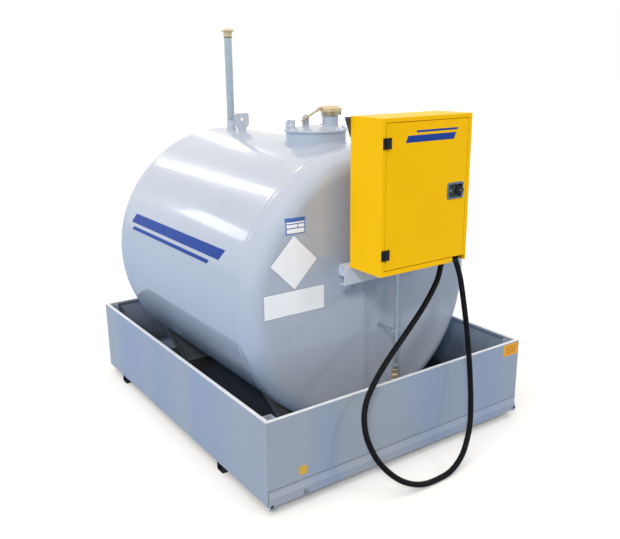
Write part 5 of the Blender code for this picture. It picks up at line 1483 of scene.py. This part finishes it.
def make_floor():
    """A white floor that keeps shadows, and gives back a cooler light than it shows."""
    floor = new_object("floor", shaped("floor", [(add_grid, FLOOR_REACH)]))
    floor.location.z = CAD_BOX[0].z
    material = bpy.data.materials.new("studio_floor")
    graph = Graph(material, clear=True)
    diffuse = graph.node("ShaderNodeBsdfDiffuse", {"Color": FLOOR_COLOUR})
    bounce = graph.node("ShaderNodeBsdfDiffuse", {"Color": FLOOR_BOUNCE})
    glow = graph.node("ShaderNodeEmission", {"Color": WHITE, "Strength": FLOOR_GLOW})
    both = graph.node("ShaderNodeAddShader", {0: diffuse.outputs[0], 1: glow.outputs[0]})
    graph.show("ShaderNodeOutputMaterial", False, bounce, both)
    floor.data.materials.append(material)


def make_world():
    """A soft sky that shows as white."""
    world = bpy.data.worlds.new("studio")
    bpy.context.scene.world = world
    graph = Graph(world, clear=True)
    toward = graph.node("ShaderNodeTexCoord").outputs["Generated"]
    rise = graph.span(graph.node("ShaderNodeSeparateXYZ", {"Vector": toward}).outputs["Z"], 0.0, 1.0)
    sky = graph.blend(rise, SKY_LOW, SKY_HIGH)
    lit = graph.node("ShaderNodeBackground", {"Color": sky, "Strength": 1.0})
    shown = graph.node("ShaderNodeBackground", {"Color": WHITE, "Strength": 1.0})
    graph.show("ShaderNodeOutputWorld", True, lit, shown)


def make_sun(name, direction, strength, angle, colour, shadow=True):
    """A distant lamp that lights a white surface facing it to its strength."""
    data = bpy.data.lights.new(name, "SUN")
    data.energy = strength * math.pi
    data.angle = math.radians(angle)
    data.color = colour
    data.use_shadow = shadow
    lamp = new_object(name, data)
    lamp.rotation_mode = "QUATERNION"
    lamp.rotation_quaternion = Vector(direction).to_track_quat("-Z", "Y")
    lamp.visible_glossy = False


def make_strip(name, start, end, width, radiance):
    """A ceiling lamp between two points, turned towards the tank."""
    start, end = Vector(start), Vector(end)
    data = bpy.data.lights.new(name, "AREA")
    data.shape = "RECTANGLE"
    data.size = (end - start).length
    data.size_y = width
    data.energy = radiance * math.pi * data.size * width
    along = (end - start).normalized()
    facing = (Vector((0.0, 0.0, 1.4)) - (start + end) / 2).normalized()
    across = facing.cross(along).normalized()
    facing = along.cross(across)
    turn = Matrix((along, across, -facing)).transposed()
    if turn.determinant() < 0:
        turn = Matrix((along, -across, -facing)).transposed()
    lamp = new_object(name, data)
    lamp.matrix_world = Matrix.Translation((start + end) / 2) @ turn.to_4x4()
    lamp.visible_camera = False


def make_lamps():
    make_sun("top", (0.0, 0.1, -1.0), 0.21, 45.0, (1.0, 0.93, 0.84))
    make_sun("key", (1.0, 1.0, -1.1), 0.40, 9.0, (1.0, 0.98, 0.96))
    make_sun("fill", (-0.7, 1.0, -0.6), 0.12, 9.0, (0.97, 0.99, 1.0))
    make_sun("side", (1.0, 0.2, -1.2), 0.27, 40.0, (1.0, 0.96, 0.91))
    make_sun("lift", (0.75, 0.15, 0.65), 0.24, 30.0, (0.38, 0.66, 1.0), shadow=False)
    make_strip("strip_long", (-1.10, 8.9, 5.0), (-1.25, 4.9, 5.0), 0.5, 9.0)
    make_strip("strip_top", (2.1, 7.1, 5.0), (4.7, 12.6, 5.0), 0.5, 9.0)
    make_strip("strip_low", (-5.5, 12.1, 5.0), (-6.8, 10.7, 5.0), 1.2, 4.0)


make_camera()
make_hose()
dress_nodes()
make_tank()
make_neck()
make_lid()
make_fill_pipe()
make_collar()
make_cap()
make_lid_welds()
make_vent()
make_lug_welds()
make_strip_folds()
make_tabs()
make_bund_welds()
make_earth()
make_slot_trim()
make_hinge_screws()
make_lock()
make_knob()
make_door_seal()
make_suction()
make_valve()
make_outlet()
make_clamp()
make_pump()
make_motor()
make_meter()
make_nozzle()
make_switch()
make_ferrules()
make_plates()
make_stripes()
make_floor()
make_world()
make_lamps()
bpy.context.scene.view_settings.view_transform = "Standard"
